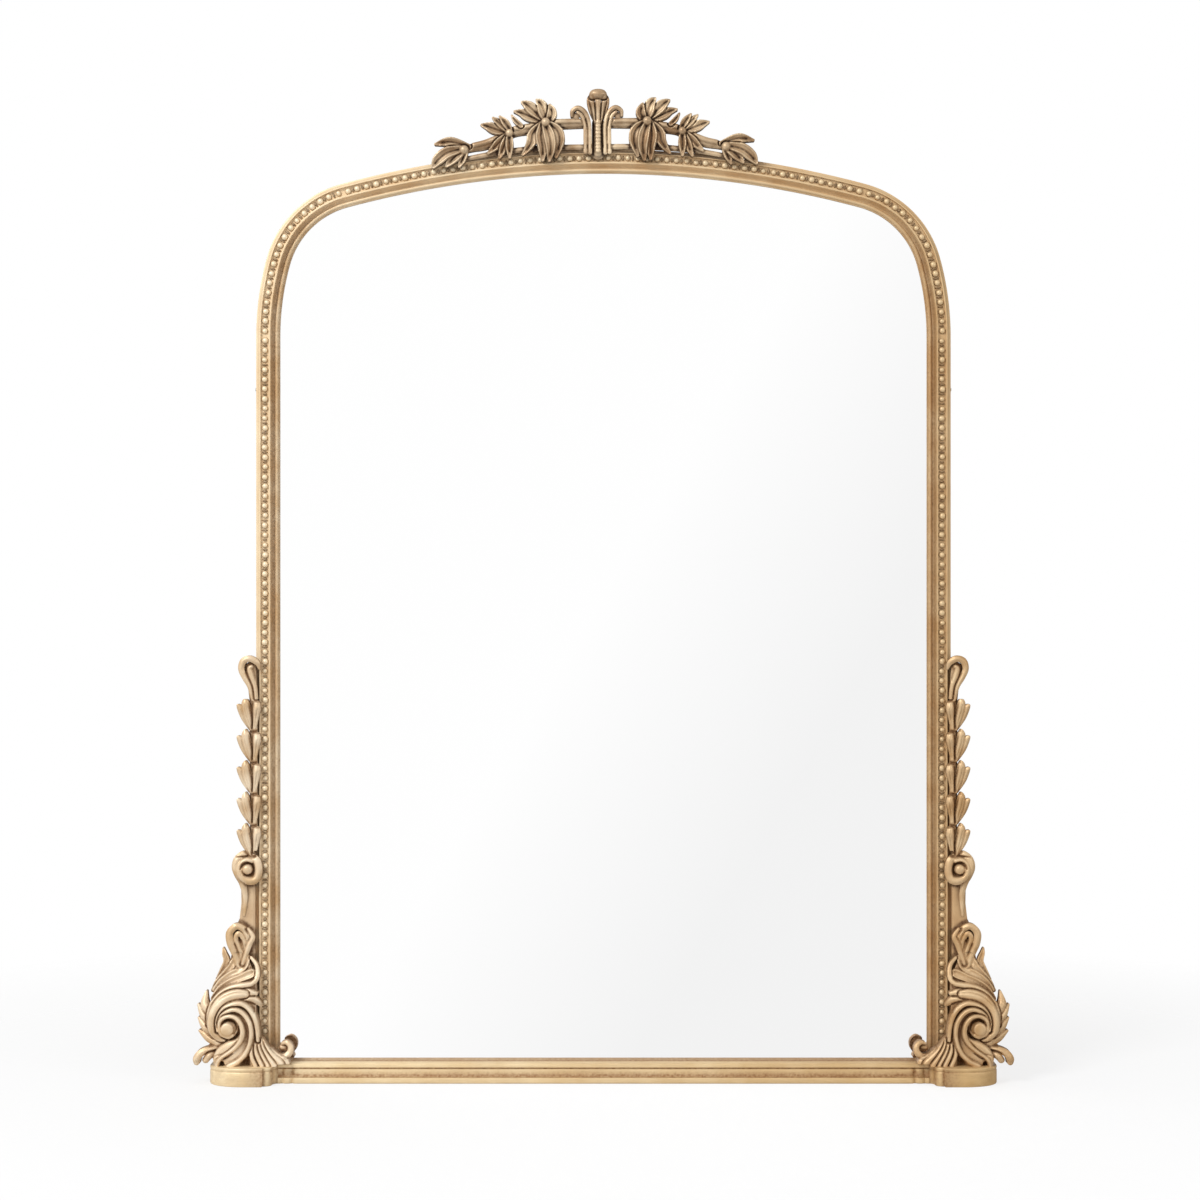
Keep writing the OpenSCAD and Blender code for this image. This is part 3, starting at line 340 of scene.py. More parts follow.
def relief_mesh(x, y, high, out, base, drop=0.0):
    """A closed solid from a height over a grid: front, flat back at depth base, and walls.

    Cells whose four corners lie inside the outline are kept. Corners on the border slide to
    the outline along its slope, so that the outline is smooth, and are lowered by the drop.
    """
    step = x[0, 1] - x[0, 0]
    cell = all_four(out < 0)
    around = np.pad(cell, 1)
    used = ~all_four(~around)
    border = used & ~all_four(around)
    slope_y, slope_x = np.gradient(out, step)
    steep = slope_x ** 2 + slope_y ** 2
    most = 1.2 * step
    slide = np.clip(-out / np.maximum(steep, 0.25), -most, most) * border
    px, py = x + slide * slope_x, y + slide * slope_y
    lap = LAP / np.sqrt(np.maximum(steep, 1e-6))
    level = sampled(high, (px - x[0, 0] - lap * slope_x) / step,
                    (py - y[0, 0] - lap * slope_y) / step)
    high = np.where(border, level - drop, high)
    number = np.cumsum(used).reshape(used.shape) - 1
    low, left = np.nonzero(cell)
    quads = np.stack([number[low, left], number[low, left + 1],
                      number[low + 1, left + 1], number[low + 1, left]], 1)
    front = np.stack([px[used], py[used], base + np.maximum(high[used], THINNEST)], 1)
    n = len(front)
    edges = np.concatenate([np.roll(quads, -k, 1)[:, :2] for k in range(4)])
    _, first, count = np.unique(np.sort(edges, 1) @ [n, 1], return_index=True, return_counts=True)
    rim = edges[first[count == 1]]
    walls = np.hstack([rim[:, ::-1], rim + n])
    points = np.vstack([front, front * [1, 1, 0] + [0, 0, base]])
    return points, [quads, quads[:, ::-1] + n, walls], used


def moved(strokes, place, sign=1):
    """The strokes put at a place; with sign -1 they are mirrored across the frame."""
    return [{**s, "line": s["line"] * [sign, 1, 1, 1] + [sign * place[0], place[1], 0, 0]}
            for s in strokes]


def composed(strokes, x, y):
    """A whole composition on a grid: x, y, distance to its outline, height and marks."""
    high, out = carve(strokes, x, y)
    high = rubbed(high, out)
    return (x, y, out, high, *hollows(high, out < 0))


def uncut(x, y):
    """No cut at all."""
    return np.full(x.shape, -FAR)


def carved_piece(node, slot, composition, groups):
    """A carved solid cut from a whole composition. Each group is a list of strokes with a
    place-wise cut that is positive where the group ends. The edge is rubbed down where it is also
    the composition's edge, and runs level where the next piece goes on. The sides and the back are
    dark, as where leaf stops at the edge, and this also paints the shade of the sides that the
    glass reflects."""
    x, y, whole_out, high, recess, worn = composition
    out = np.full(x.shape, FAR)
    for strokes, cut in groups:
        out = np.minimum(out, np.maximum(carve(strokes, x, y)[1], cut(x, y)))
    rows, cols = (np.nonzero((out < 0).any(axis))[0] for axis in (1, 0))
    window = np.s_[max(rows[0] - 2, 0):rows[-1] + 3, max(cols[0] - 2, 0):cols[-1] + 3]
    rim = np.clip(1 + whole_out[window] / WORN_RIM, 0, 1)
    points, faces, used = relief_mesh(*(v[window] for v in (x, y, high, out)), MOULDING_D,
                                      RIM_DROP * rim)
    rim, back = rim[used], np.ones(used.sum())
    # The back is marked full brown, so the walls darken towards it: painted shade on the sides that
    # the glass reflects.
    marks = {"recess": [recess[window][used] * (1 - rim) + RIM_RECESS * rim, back],
             "worn": [worn[window][used] * (1 - rim), 0 * back]}
    make("carved_" + node, points, faces, node, slot, marks)


# -------------------------------- finishes

def colour(r, g, b):
    """A colour as it is seen on a screen (0 to 255), made linear."""
    c = np.array([r, g, b]) / 255
    c = np.where(c <= 0.04045, c / 12.92, ((c + 0.055) / 1.055) ** 2.4)
    return (*c.tolist(), 1.0)


def feed(tree, socket, value):
    """Links a socket, or sets a plain value."""
    if isinstance(value, bpy.types.NodeSocket):
        tree.links.new(value, socket)
    else:
        socket.default_value = value


def add_node(tree, kind, *values, **named):
    """A shader node. Values feed its sockets in order. A name that starts with a capital is a
    socket, with _ for a space, and any other is a setting."""
    made = tree.nodes.new("ShaderNode" + kind)
    for key, value in named.items():
        if key[0].isupper():
            feed(tree, made.inputs[key.replace("_", " ")], value)
        else:
            setattr(made, key, value)
    for socket, value in zip(made.inputs, values):
        feed(tree, socket, value)
    return made


def maths(tree, operation, a, b, clamp=False):
    return add_node(tree, "Math", a, b, operation=operation, use_clamp=clamp).outputs[0]


def product(tree, a, b, clamp=False):
    return maths(tree, "MULTIPLY", a, b, clamp)


def total(tree, a, b, clamp=False):
    return maths(tree, "ADD", a, b, clamp)


def blend_colours(tree, share, a, b, how="MIX"):
    mix = add_node(tree, "Mix", data_type="RGBA", blend_type=how)
    for socket, value in zip((0, 6, 7), (share, a, b)):
        feed(tree, mix.inputs[socket], value)
    return mix.outputs[2]


def spread(tree, value, low, high, to_low=0.0, to_high=1.0):
    """Maps a value from one range to another, held at both ends."""
    return add_node(tree, "MapRange", value, low, high, to_low, to_high).outputs[0]


def noise(tree, where, scale, detail=4.0, roughness=0.55):
    return add_node(tree, "TexNoise", Vector=where, Scale=scale, Detail=detail,
                    Roughness=roughness).outputs["Fac"]


def mark(tree, name):
    return add_node(tree, "Attribute", attribute_name=name).outputs["Fac"]


def object_place(tree):
    return add_node(tree, "TexCoord").outputs["Object"]


def effect(name, inputs, outputs):
    """An empty node group with its named sockets."""
    tree = bpy.data.node_groups.new(name, "ShaderNodeTree")
    for direction, sockets in (("INPUT", inputs), ("OUTPUT", outputs)):
        for key, kind in sockets.items():
            tree.interface.new_socket(key, in_out=direction, socket_type="NodeSocket" + kind)
    return tree, tree.nodes.new("NodeGroupInput").outputs, tree.nodes.new("NodeGroupOutput").inputs


def make_gilding():
    """Antique gilding: gold that varies in broad clouds, brown patina that settles in the hollows
    and breaks up in fine specks, with painted shade carried in the same brown where a piece marks
    it, and paler gold where the tops are rubbed, which is also painted highlight."""
    tree, given, result = effect(
        "antique_gilding",
        {"Gold": "Color", "Pale gold": "Color", "Patina": "Color", "Patina amount": "Float",
         "Rubbing": "Float", "Sheen roughness": "Float", "Grain size": "Float"},
        {"Color": "Color", "Roughness": "Float", "Height": "Float"})
    place = object_place(tree)
    cloud_scale, speck_scale = 34.0, 1500.0
    clouds = noise(tree, place, cloud_scale, 3.0)
    fine = noise(tree, place, given["Grain size"], 5.0, 0.6)
    specks = noise(tree, place, speck_scale, 2.0)
    gold = blend_colours(tree, spread(tree, clouds, 0.35, 0.7), given["Gold"], given["Pale gold"])
    recess = product(tree, mark(tree, "recess"), given["Patina amount"])
    broken = total(tree, recess, product(tree, recess, spread(tree, fine, 0.3, 0.7, -0.35, 0.35)))
    # The brown share: patina in the hollows, painted shade where pieces mark it, and fine dirt
    # specks.
    patina_and_shade = total(tree, broken, spread(tree, fine, 0.56, 0.78, 0.0, 0.16), clamp=True)
    base = blend_colours(tree, patina_and_shade, gold, given["Patina"])
    # Pale gold on the proud tops: rubbed gilding and painted highlight.
    rub_and_highlight = product(tree, mark(tree, "worn"), given["Rubbing"])
    rub_and_highlight = product(tree, rub_and_highlight, spread(tree, specks, 0.3, 0.62, 0.55, 1.0), clamp=True)
    feed(tree, result["Color"], blend_colours(tree, rub_and_highlight, base, given["Pale gold"]))
    rough = total(tree, given["Sheen roughness"], product(tree, patina_and_shade, 0.28))
    feed(tree, result["Roughness"],
         total(tree, rough, spread(tree, fine, 0.3, 0.7, -0.05, 0.06), clamp=True))
    feed(tree, result["Height"], total(tree, fine, product(tree, specks, 0.4)))
    return tree


def make_streaks():
    """Long streaks with scratches: for drawn metal and sawn board, and on the base rubbing and
    painted reflection.
    """
    tree, given, result = effect(
        "long_streaks", {"Stretch": "Vector", "Fine": "Float", "Coarse": "Float"},
        {"Streak": "Float", "Height": "Float"})
    place = add_node(tree, "Mapping", object_place(tree), Scale=given["Stretch"]).outputs[0]
    coarse = noise(tree, place, given["Coarse"], 3.0)
    fine = noise(tree, place, given["Fine"], 4.0, 0.7)
    both = total(tree, product(tree, coarse, 0.6), product(tree, fine, 0.4))
    feed(tree, result["Streak"], spread(tree, both, 0.35, 0.65))
    feed(tree, result["Height"], fine)
    return tree


GILDING = make_gilding()
STREAKS = make_streaks()


def surface(name, **constants):
    """A material with one Principled BSDF whose plain values are set on its own sockets."""
    material = bpy.data.materials.new(name)
    material.use_nodes = True
    tree = material.node_tree
    shader = tree.nodes["Principled BSDF"]
    for key, value in constants.items():
        shader.inputs[key.replace("_", " ")].default_value = value
    return material, tree, shader


def dress(tree, shader, base, roughness, height, strength, distance):
    """Colour, roughness and a bump from a height, given its strength and its metres."""
    bump = add_node(tree, "Bump", Strength=strength, Distance=distance, Height=height)
    feed(tree, shader.inputs["Base Color"], base)
    feed(tree, shader.inputs["Roughness"], roughness)
    feed(tree, shader.inputs["Normal"], bump.outputs[0])


# Painted shade: the gilding is darkened towards the right, away from the key lamp on the left.
RIGHT_SHADE = (0.76, 0.66, 0.52, 1.0)        # what the gold is multiplied by at the far right
RIGHT_SHADE_FROM, RIGHT_SHADE_TO = -0.28, 0.36    # where that starts and is full, in metres across
GILT_BUMP = 0.0001                      # metres


def gilt(name, gold, pale, patina_and_shade_brown, amount, rubbing_and_highlight, roughness, grain=420.0, metal=0.22,
         streaks_and_reflection=0.0):
    """A gilt finish, with painted shade that deepens it towards the right, away from the key lamp.
    The streak amount adds long brownish strokes, as on the base, which also paint the wavy dark
    reflection that runs along it."""
    gold, pale, patina_and_shade_brown = colour(*gold), colour(*pale), colour(*patina_and_shade_brown)
    material, tree, shader = surface(name, Metallic=metal)
    gild = add_node(tree, "Group", node_tree=GILDING, Gold=gold, Pale_gold=pale, Patina=patina_and_shade_brown,
                    Patina_amount=amount, Rubbing=rubbing_and_highlight, Sheen_roughness=roughness,
                    Grain_size=grain).outputs
    base = gild["Color"]
    # On the base the brownish streaks are rubbing and painted reflection: wavy dark bands that its
    # gilding would reflect.
    if streaks_and_reflection:
        strokes = add_node(tree, "Group", node_tree=STREAKS, Stretch=(0.07, 1, 1), Fine=900.0,
                           Coarse=190.0).outputs["Streak"]
        base = blend_colours(tree, product(tree, strokes, streaks_and_reflection), base, patina_and_shade_brown)
    # Painted shade towards the right.
    across = add_node(tree, "SeparateXYZ", object_place(tree)).outputs[0]
    base = blend_colours(tree, spread(tree, across, RIGHT_SHADE_FROM, RIGHT_SHADE_TO), base, RIGHT_SHADE,
                         "MULTIPLY")
    dress(tree, shader, base, gild["Roughness"], gild["Height"], 0.5, GILT_BUMP)
    return material


def mirror_silver():
    """Silvered glass: a clean mirror with a trace of haze in the silver."""
    material, tree, shader = surface("mirror_silver", Metallic=1.0)
    place = object_place(tree)
    feed(tree, shader.inputs["Base Color"],
         blend_colours(tree, noise(tree, place, 3.0, 3.0), colour(254, 254, 254), (1, 1, 1, 1)))
    feed(tree, shader.inputs["Roughness"],
         spread(tree, noise(tree, place, 40.0), 0.3, 0.7, 0.004, 0.012))
    return material


def streaked(name, light, dark, stretch, fine, coarse, roughness, metallic=0.0, depth=0.0001):
    """Sawn board or drawn steel: two tones along streaks, with a bump from the fine ones."""
    material, tree, shader = surface(name, Metallic=metallic)
    streaks = add_node(tree, "Group", node_tree=STREAKS, Stretch=stretch, Fine=fine,
                       Coarse=coarse).outputs
    dress(tree, shader,
          blend_colours(tree, streaks["Streak"], colour(*light), colour(*dark)),
          spread(tree, streaks["Height"], 0.3, 0.7, roughness - 0.07, roughness + 0.08),
          streaks["Height"], 0.4, depth)
    return material


def felt():
    """Pressed felt: matted fibres in two browns, with a soft sheen."""
    material, tree, shader = surface("bumper_felt", Sheen_Weight=0.4, Sheen_Roughness=0.6)
    fibre = noise(tree, object_place(tree), 2600.0, 6.0, 0.75)
    browns = blend_colours(tree, spread(tree, fibre, 0.35, 0.65), colour(58, 50, 44),
                           colour(96, 84, 72))
    dress(tree, shader, browns, spread(tree, fibre, 0.3, 0.7, 0.85, 1.0), fibre, 0.8, 0.0005)
    return material


# Finish of each slot: gold, pale gold (also for painted highlight) and patina (also for painted
# shade) as seen on a screen, then the amounts of patina and rubbing, each with its painted light,
# the roughness and the fineness of the grain
FINISHES = {
    "gilt_frame": gilt("gilt_moulding", (220, 184, 136), (244, 222, 186), (132, 96, 62),
                       0.8, 0.75, 0.42),
    "gilt_pearls": gilt("gilt_pearls", (232, 206, 162), (250, 232, 200), (112, 84, 58),
                        1.0, 0.9, 0.4, 700.0),
    "gilt_base": gilt("gilt_base", (234, 206, 158), (248, 226, 184), (158, 120, 82),
                      0.8, 0.6, 0.42, streaks_and_reflection=0.3),
    "gilt_carving": gilt("gilt_carving", (210, 174, 128), (252, 232, 202), (132, 98, 66),
                         0.95, 0.85, 0.42, 520.0, metal=0.32),
    "gilt_crest": gilt("gilt_crest", (166, 132, 96), (254, 234, 202), (70, 48, 32),
                       1.15, 1.0, 0.4, 520.0, metal=0.38),
    "gilt_board": gilt("gilt_board", (206, 174, 136), (226, 198, 160), (112, 82, 56),
                       0.9, 0.5, 0.5)}


# -------------------------------- moulding

def rounded(corners, steps=4):
    """A closed outline from corners x, y, radius: each corner is turned by a short curve."""
    c = np.asarray(corners, float)
    t = np.linspace(0, 1, steps + 1)[None, :, None]

    def towards(other):
        """Where the curve at each corner meets the line to another corner."""
        run = other[:, :2] - c[:, :2]
        length = np.hypot(*run.T)[:, None]
        return (c[:, :2] + run / length * np.minimum(c[:, 2:], 0.48 * length))[:, None]

    a, mid, b = towards(np.roll(c, 1, 0)), c[:, None, :2], towards(np.roll(c, -1, 0))
    points = ((1 - t) ** 2 * a + 2 * t * (1 - t) * mid + t ** 2 * b).reshape(-1, 2)
    return points[np.hypot(*(points - np.roll(points, 1, 0)).T) > 0.01]


def oval(cx, cy, rx, ry, start, end, n):
    """Corners along an ellipse from one angle to another."""
    p = np.array([cx, cy]) + turn(np.linspace(start, end, n + 1)) * [rx, ry]
    return [[*q, 0.0] for q in p.tolist()]


def moulding_outline():
    """Section of the moulding, x out from the glass and y forward from the back, in the same
    places as the frame's, with its arrises rubbed round."""
    in_u, out_u = PEARL_U - CHANNEL_HALF, PEARL_U + CHANNEL_HALF
    return rounded(
        [[REBATE_W, 0, 0.2], [MOULDING_W, 0, 0.4]]
        + oval(MOULDING_W, 25.0, 3.8, 7.0, 270, 180, 14)
        + [[out_u + 1.2, 25.4, 0.35], [out_u, 25.4, 0.4], [out_u, CHANNEL_V, 0.4],
           [in_u, CHANNEL_V, 0.4], [in_u, 25.8, 0.45]]
        + oval(4.5, 25.8, 3.5, 6.8, 0, -90, 14)
        + oval(2.75, 19.0, 1.75, 2.0, 8, 172, 14)
        + [[1.0, 19.0, 0.1], [1.0, 18.4, 0.25], [0, 18.4, 0.35], [0, REBATE_D, 0.1],
           [REBATE_W, REBATE_D, 0.1]])


def proud(outline, front, reach):
    """How far each front point of a section stands past the mean of the front round it."""
    gap = outline[:, None, 0] - outline[None, :, 0]
    weight = np.exp(-(gap / reach) ** 2) * front
    mean = (weight * outline[:, 1]).sum(1) / np.maximum(weight.sum(1), 1e-9)
    return np.where(front, outline[:, 1] - mean, 0)


MOULDING = moulding_outline()


def moulding_piece(node, places, outs, glass_side_shade=0.0, under=0.0, flip=False):
    """A length of the moulding: the section is carried along the places, with its x along each
    place's out direction. The side by the glass is browned at each place by the given amount:
    patina with painted shade where it is high, as on the stiles, whose cove lies in shade; where it
    is low, as on the arch, that side is painted pale instead, as light where the ridge shades the
    cove. Under is how dark the outer side is there, as painted shade under the crest."""
    across = places[:, None] + MOULDING[:, :1] * outs[:, None]
    depth = np.broadcast_to(MOULDING[:, 1:], (*across.shape[:2], 1))
    u, from_pearls = MOULDING[:, 0], MOULDING[:, 0] - PEARL_U
    rise = proud(MOULDING, MOULDING[:, 1] > REBATE_D + 1.5, 1.6)
    recess = np.where(from_pearls > 4.8, 0.12, np.clip(-rise / 1.6, 0, 0.8))
    worn = np.clip(rise / 0.8, 0, 1)
    glass_side_shade, under = (np.broadcast_to(v, len(places))[:, None] for v in (glass_side_shade, under))
    inner, channel = from_pearls < -CHANNEL_EDGE, np.abs(from_pearls) < CHANNEL_EDGE
    outer = under * (from_pearls > CHANNEL_EDGE)
    # Painted light and shade: the side by the glass as above; the pearls' channel painted pale
    # against the shadow in it; the outer side painted pale against the shadow in its hollow, except
    # where the painted shade under the crest darkens it.
    marks = {"recess": np.where(inner, glass_side_shade * (0.36 + 0.45 * recess),
                                np.where(channel, 0, recess)) + outer,
             "worn": np.where(inner, (1 - glass_side_shade) * (0.35 + 0.65 * worn),
                              np.where(channel, 0.4, 0.8)) * (1 - outer)}
    make("gilt_" + node, *tube(np.concatenate([across, depth], -1)), node, "gilt_frame", marks,
         sharp=40, flip=flip)


def arc_path(centre, radius, start, end, step=1.0):
    """Places and out directions along an arc of the glass opening's edge."""
    outs = turn(np.linspace(start, end, max(2, int(abs(end - start) / step) + 1)))
    return centre + radius * outs, outs


def stile_path(n=60):
    """Up the straight side of the glass opening."""
    places = np.stack([np.full(n, HALF_W), np.linspace(PLINTH_H, SPRING_H, n)], 1)
    return places, np.tile([1.0, 0.0], (n, 1))


def shoulder_path():
    """The slow bend, then the quick one."""
    slow = arc_path(SIDE_C, SIDE_R, 0, SIDE_TURN, 0.6)
    quick = arc_path(SHOULDER_C, SHOULDER_R, SIDE_TURN, TOP_START)
    return [np.vstack([a, b[1:]]) for a, b in zip(slow, quick)]


def arch_path():
    """The arch over the top, from one shoulder to the other."""
    return arc_path(TOP_C, TOP_R, TOP_START, 180 - TOP_START, 0.25)


# Painted shade along each shoulder: full beside the stile, fading towards the arch.
SHOULDER_SHADE = np.clip(shoulder_path()[1][:, 0] * 1.25 - 0.2, 0, 1)
CREST_SHADE = 0.75 * np.clip((160 - np.abs(arch_path()[0][:, 0])) / 20, 0, 1)
for side, flip in (("right", False), ("left", True)):
    moulding_piece(side + "_stile", *stile_path(), glass_side_shade=1.0, flip=flip)
    moulding_piece(side + "_shoulder", *shoulder_path(), glass_side_shade=SHOULDER_SHADE, flip=flip)
moulding_piece("arch_rail", *arch_path(), glass_side_shade=0.1, under=CREST_SHADE)


# -------------------------------- pearls

def bead_shape(around=10, up=4):
    """Half a ball of radius 1 with a pole: rings of a circle that shrink towards the top."""
    ring = turn(np.arange(around) * 360 / around)
    level = turn(np.linspace(0, 90, up + 1)[:-1])[:, None]
    balls = np.concatenate([level[..., :1] * ring,
                            np.broadcast_to(level[..., 1:], (up, around, 1))], -1)
    points = np.vstack([balls.reshape(-1, 3), [[0, 0, 1], [0, 0, 0]]])
    j = np.arange(around)
    k = (j + 1) % around
    last, pole = (up - 1) * around, np.full(around, up * around)
    crown = np.stack([last + j, last + k, pole], 1)
    floor = np.stack([k, j, pole + 1], 1)
    return points, [ring_faces(up, around)[:, ::-1], crown, floor]


def pearl_row(node, line, flip=False):
    """Pearls along a line of places, with a small reel between each two. Every pearl is half a
    ball, pressed and shifted a little, as cast pearls are."""
    bead, blocks = bead_shape()
    n, m = len(line), len(line) - 1
    run = np.gradient(line, axis=0)
    run /= np.hypot(*run.T)[:, None]
    out = np.stack([run[:, 1], -run[:, 0]], 1)

    def copies(places, width, length, height):
        """Beads at the places, each stretched along the row, across it and forward."""
        ways = run[:len(places)], out[:len(places)]
        flat = places[:, None] + sum(bead[:, k:k + 1] * size[:, None, None] * way[:, None]
                                     for k, size, way in zip((0, 1), (length, width), ways))
        d = CHANNEL_V + bead[:, 2] * height[:, None]
        return np.concatenate([flat, d[..., None]], -1)

    size = PEARL_D / 2 * (1 + rng.uniform(-0.14, 0.04, n))
    shift = rng.uniform(-0.4, 0.4, (n, 2))
    pearls = copies(line + shift, size, size * rng.uniform(0.88, 1.04, n),
                    np.minimum(size * 1.03, MOULDING_D - CHANNEL_V - 0.05))
    reels = copies((line[:-1] + line[1:]) / 2, rng.uniform(2.1, 3.0, m),
                   rng.uniform(0.95, 1.35, m), rng.uniform(1.9, 2.8, m))
    first = (np.arange(n + m) * len(bead))[:, None, None]
    faces = [(block + first).reshape(-1, block.shape[1]) for block in blocks]
    low = np.clip(1.1 - bead[:, 2] * 1.9, 0, 1)
    high = np.clip(bead[:, 2] * 1.6 - 0.6, 0, 1)
    reel = np.ones(m * len(bead))
    # Fronts of the pearls pale, as rubbing and painted highlight; their feet and the reels brown.
    marks = {"recess": np.concatenate([np.tile(low, n), 0.7 * reel]),
             "worn": np.concatenate([np.tile(high, n), 0 * reel])}
    make("cast_" + node, np.concatenate([pearls, reels]), faces, node, "gilt_pearls", marks,
         sharp=60, flip=flip)


def arc_line(centre, radius, start, end):
    """Places of the pearls along an arc, as near the pitch as a whole number of them allows."""
    n = round(math.radians(abs(end - start)) * (radius + PEARL_U) / PEARL_PITCH)
    return centre + (radius + PEARL_U) * turn(start + (end - start) * (np.arange(n) + 0.5) / n)


STILE_PEARLS = int((SPRING_H - PLINTH_H - 20) // PEARL_PITCH)
stile_line = np.array([HALF_W + PEARL_U, SPRING_H]) \
    - (np.arange(STILE_PEARLS) + 0.5)[:, None] * [0, PEARL_PITCH]
shoulder_line = np.vstack([arc_line(SIDE_C, SIDE_R, 0, SIDE_TURN),
                           arc_line(SHOULDER_C, SHOULDER_R, SIDE_TURN, TOP_START)])
for side, flip in (("right", False), ("left", True)):
    pearl_row(side + "_stile_pearls", stile_line, flip)
    pearl_row(side + "_shoulder_pearls", shoulder_line, flip)
pearl_row("arch_pearls", arc_line(TOP_C, TOP_R, TOP_START, 180 - TOP_START))


# -------------------------------- base

LIP_H = 14.3                    # height at which the rail's lip starts
FOLD_W, FOLD_D = 1.7, 2.4       # half width of a fold, and its depth at strength 1


def rail_outline():
    """Section of the base rail, x up and y forward: a rounded lip, a quirk, a cove that runs
    out to the foot, and the rounded foot that stands out past the lip."""
    foot_d = RAIL_D + RAIL_FOOT
    return rounded(
        [[0, 0, 0.2], [0, foot_d - 1.6, 0.4]]
        + oval(1.5, foot_d - 1.55, 1.5, 1.5, 180, 90, 5)
        + [[5.2, foot_d - 0.05, 0.3], [5.5, foot_d - 0.9, 0.2]]
        + oval(12.8, foot_d - 1.0, 7.3, 3.4, 182, 270, 10)
        + [[12.9, RAIL_D - 1.7, 0.1], [14.2, RAIL_D - 1.7, 0.1], [LIP_H, RAIL_D - 0.2, 0.4]]
        + oval(17.0, REBATE_D + 3, BASE_H - 17.1, RAIL_D - REBATE_D - 3.4, 0, 90, 12)[::-1]
        + [[BASE_H, REBATE_D, 0.15], [BASE_H - REBATE_W, REBATE_D, 0.1],
           [BASE_H - REBATE_W, 0, 0.2]])


def base_rail():
    """The section, carried from the right plinth to the left, with folds beside them: shallow dents
    with painted shade.
    """
    section = rail_outline()
    up, forward = section.T
    end = HALF_W - np.arange(25.0)
    xs = np.concatenate([end, np.linspace(end[-1], -end[-1], 70)[1:-1], -end[::-1]])
    folds = sum(strength * np.exp(-((np.abs(xs) - place) / FOLD_W) ** 2)
                for place, strength in FOLDS)
    rings = np.empty((len(xs), len(section), 3))
    rings[..., 0] = xs[:, None]
    rings[..., 1:] = section
    rings[..., 2] -= FOLD_D * folds[:, None] * (forward > REBATE_D + 4) * (up < LIP_H)
    rise = proud(section, forward > REBATE_D + 1, 1.5)
    # Painted shade in the folds, over the cove's patina.
    marks = {"recess": 0.4 - rise / 0.9 + folds[:, None],
             "worn": np.tile(np.clip(rise / 1.6, 0, 0.4), len(xs))}
    make("gilt_base_rail", *tube(rings), "base_rail", "gilt_base", marks, sharp=40)


def plinth_plan(inset, n=12):
    """Plan of the right plinth, x across and y forward, drawn in by the inset: a cove beside
    the rail, a small lobe, a step and a broad lobe round the end."""
    lobe_x, end_x, small = HALF_W + 11.5, HALF_W + 30, PLINTH_D - 9
    outer_x = HALF_W + PLINTH_W - inset
    cove = [HALF_W, small - 2] + turn(np.linspace(-90, 0, n)) * [4 + inset, 9 + inset]
    lobe = [lobe_x, small - 2] + turn(np.linspace(180, 90, n)) * [7.5 - inset, 7 - inset]
    step = [[lobe_x + inset, PLINTH_D - 4 - inset], [lobe_x + inset + 0.6, PLINTH_D - inset]]
    end = [end_x, PLINTH_D / 2] + turn(np.linspace(90, 0, 2 * n)) \
        * [outer_x - end_x, PLINTH_D / 2 - inset]
    return np.vstack([[[HALF_W, 0.4]], cove, lobe, step, end, [[outer_x, 0.4]]])


def plinth(node, flip):
    """The plan at a row of heights, drawn in where the arrises round and where the groove
    runs; top and foot are closed flat. The profile's pairs are a height and its inset."""
    profile = np.array([(0, 0.9), (0.35, 0.35), (1.0, 0.0), (6, 0.0), (11.6, 0.0), (12.6, 0.1),
                        (13.0, 0.35), (13.4, 0.5), (13.8, 0.45), (14.2, 0.2), (14.8, 0.05),
                        (15.6, 0.0), (16.3, 0.1), (16.75, 0.4), (17, 0.9)])
    height, inset = profile.T
    rings = np.array([np.insert(plinth_plan(i), 1, h, axis=1) for h, i in profile])
    recess = np.where((height > 12.6) & (height < 14.4), inset * 0.6, 0)
    worn = np.where(((height > 14.4) | (height < 1.1)) & (inset > 0.05), 0.7, 0)
    x, y = plinth_plan(0).T
    # Painted shade in folds across the plinth's front, which has no dents for them.
    folds = sum(strength * np.exp(-((x - HALF_W - place) / 1.6) ** 2) * (y > PLINTH_D / 2)
                for place, strength in ((0, 0.8), (4.5, 0.75), (11.5, 1.0)))
    marks = {"recess": recess[:, None] + folds, "worn": np.repeat(worn, len(x))}
    make("gilt_" + node, *tube(rings), node, "gilt_base", marks, sharp=45, flip=flip)


base_rail()
plinth("right_plinth", False)
plinth("left_plinth", True)


# -------------------------------- side ornament

def husk(y):
    """Three petals of a bellflower whose tip is at height y."""
    petals = [
        [[-4.2, -27, 1.6, 4], [-9.2, -17, 3, 6.6], [-12.4, -9, 2.9, 8.4], [-14.8, -5.8, 1.1, 8.6]],
        [[-3.2, -27, 1.8, 5], [-6.3, -15, 3.3, 8], [-8, -5, 3.4, 10], [-8, 0, 1.2, 9]],
        [[-0.6, -27, 1.8, 4], [1, -17, 2.4, 6], [2.2, -9.4, 3.3, 9], [2.2, -4.6, 2.8, 8.6]]]
    cuts = [[[-2.4, -27, 0.8, 2], [-2.6, -17, 0.9, 4], [-4, -8, 0.8, 5], [-4.6, -2, 0.6, 3]],
            [[-3.6, -26, 0.4, 1], [-7.4, -14, 0.5, 1.3], [-9, -5, 0.4, 1]],
            [[0.2, -26, 0.4, 1], [1.6, -16, 0.6, 1.6], [3.2, -9, 0.5, 1]],
            [[-1.4, -1.5, 1.6, 4], [1.6, -1.2, 1.8, 5], [4.6, -2.4, 1.2, 4]]]
    up = [0, y, 0, 0]
    return ([rib(np.array(petal) + up, 0.35, cut=2) for petal in petals]
            + [groove(np.array(line) + up, 4) for line in cuts])


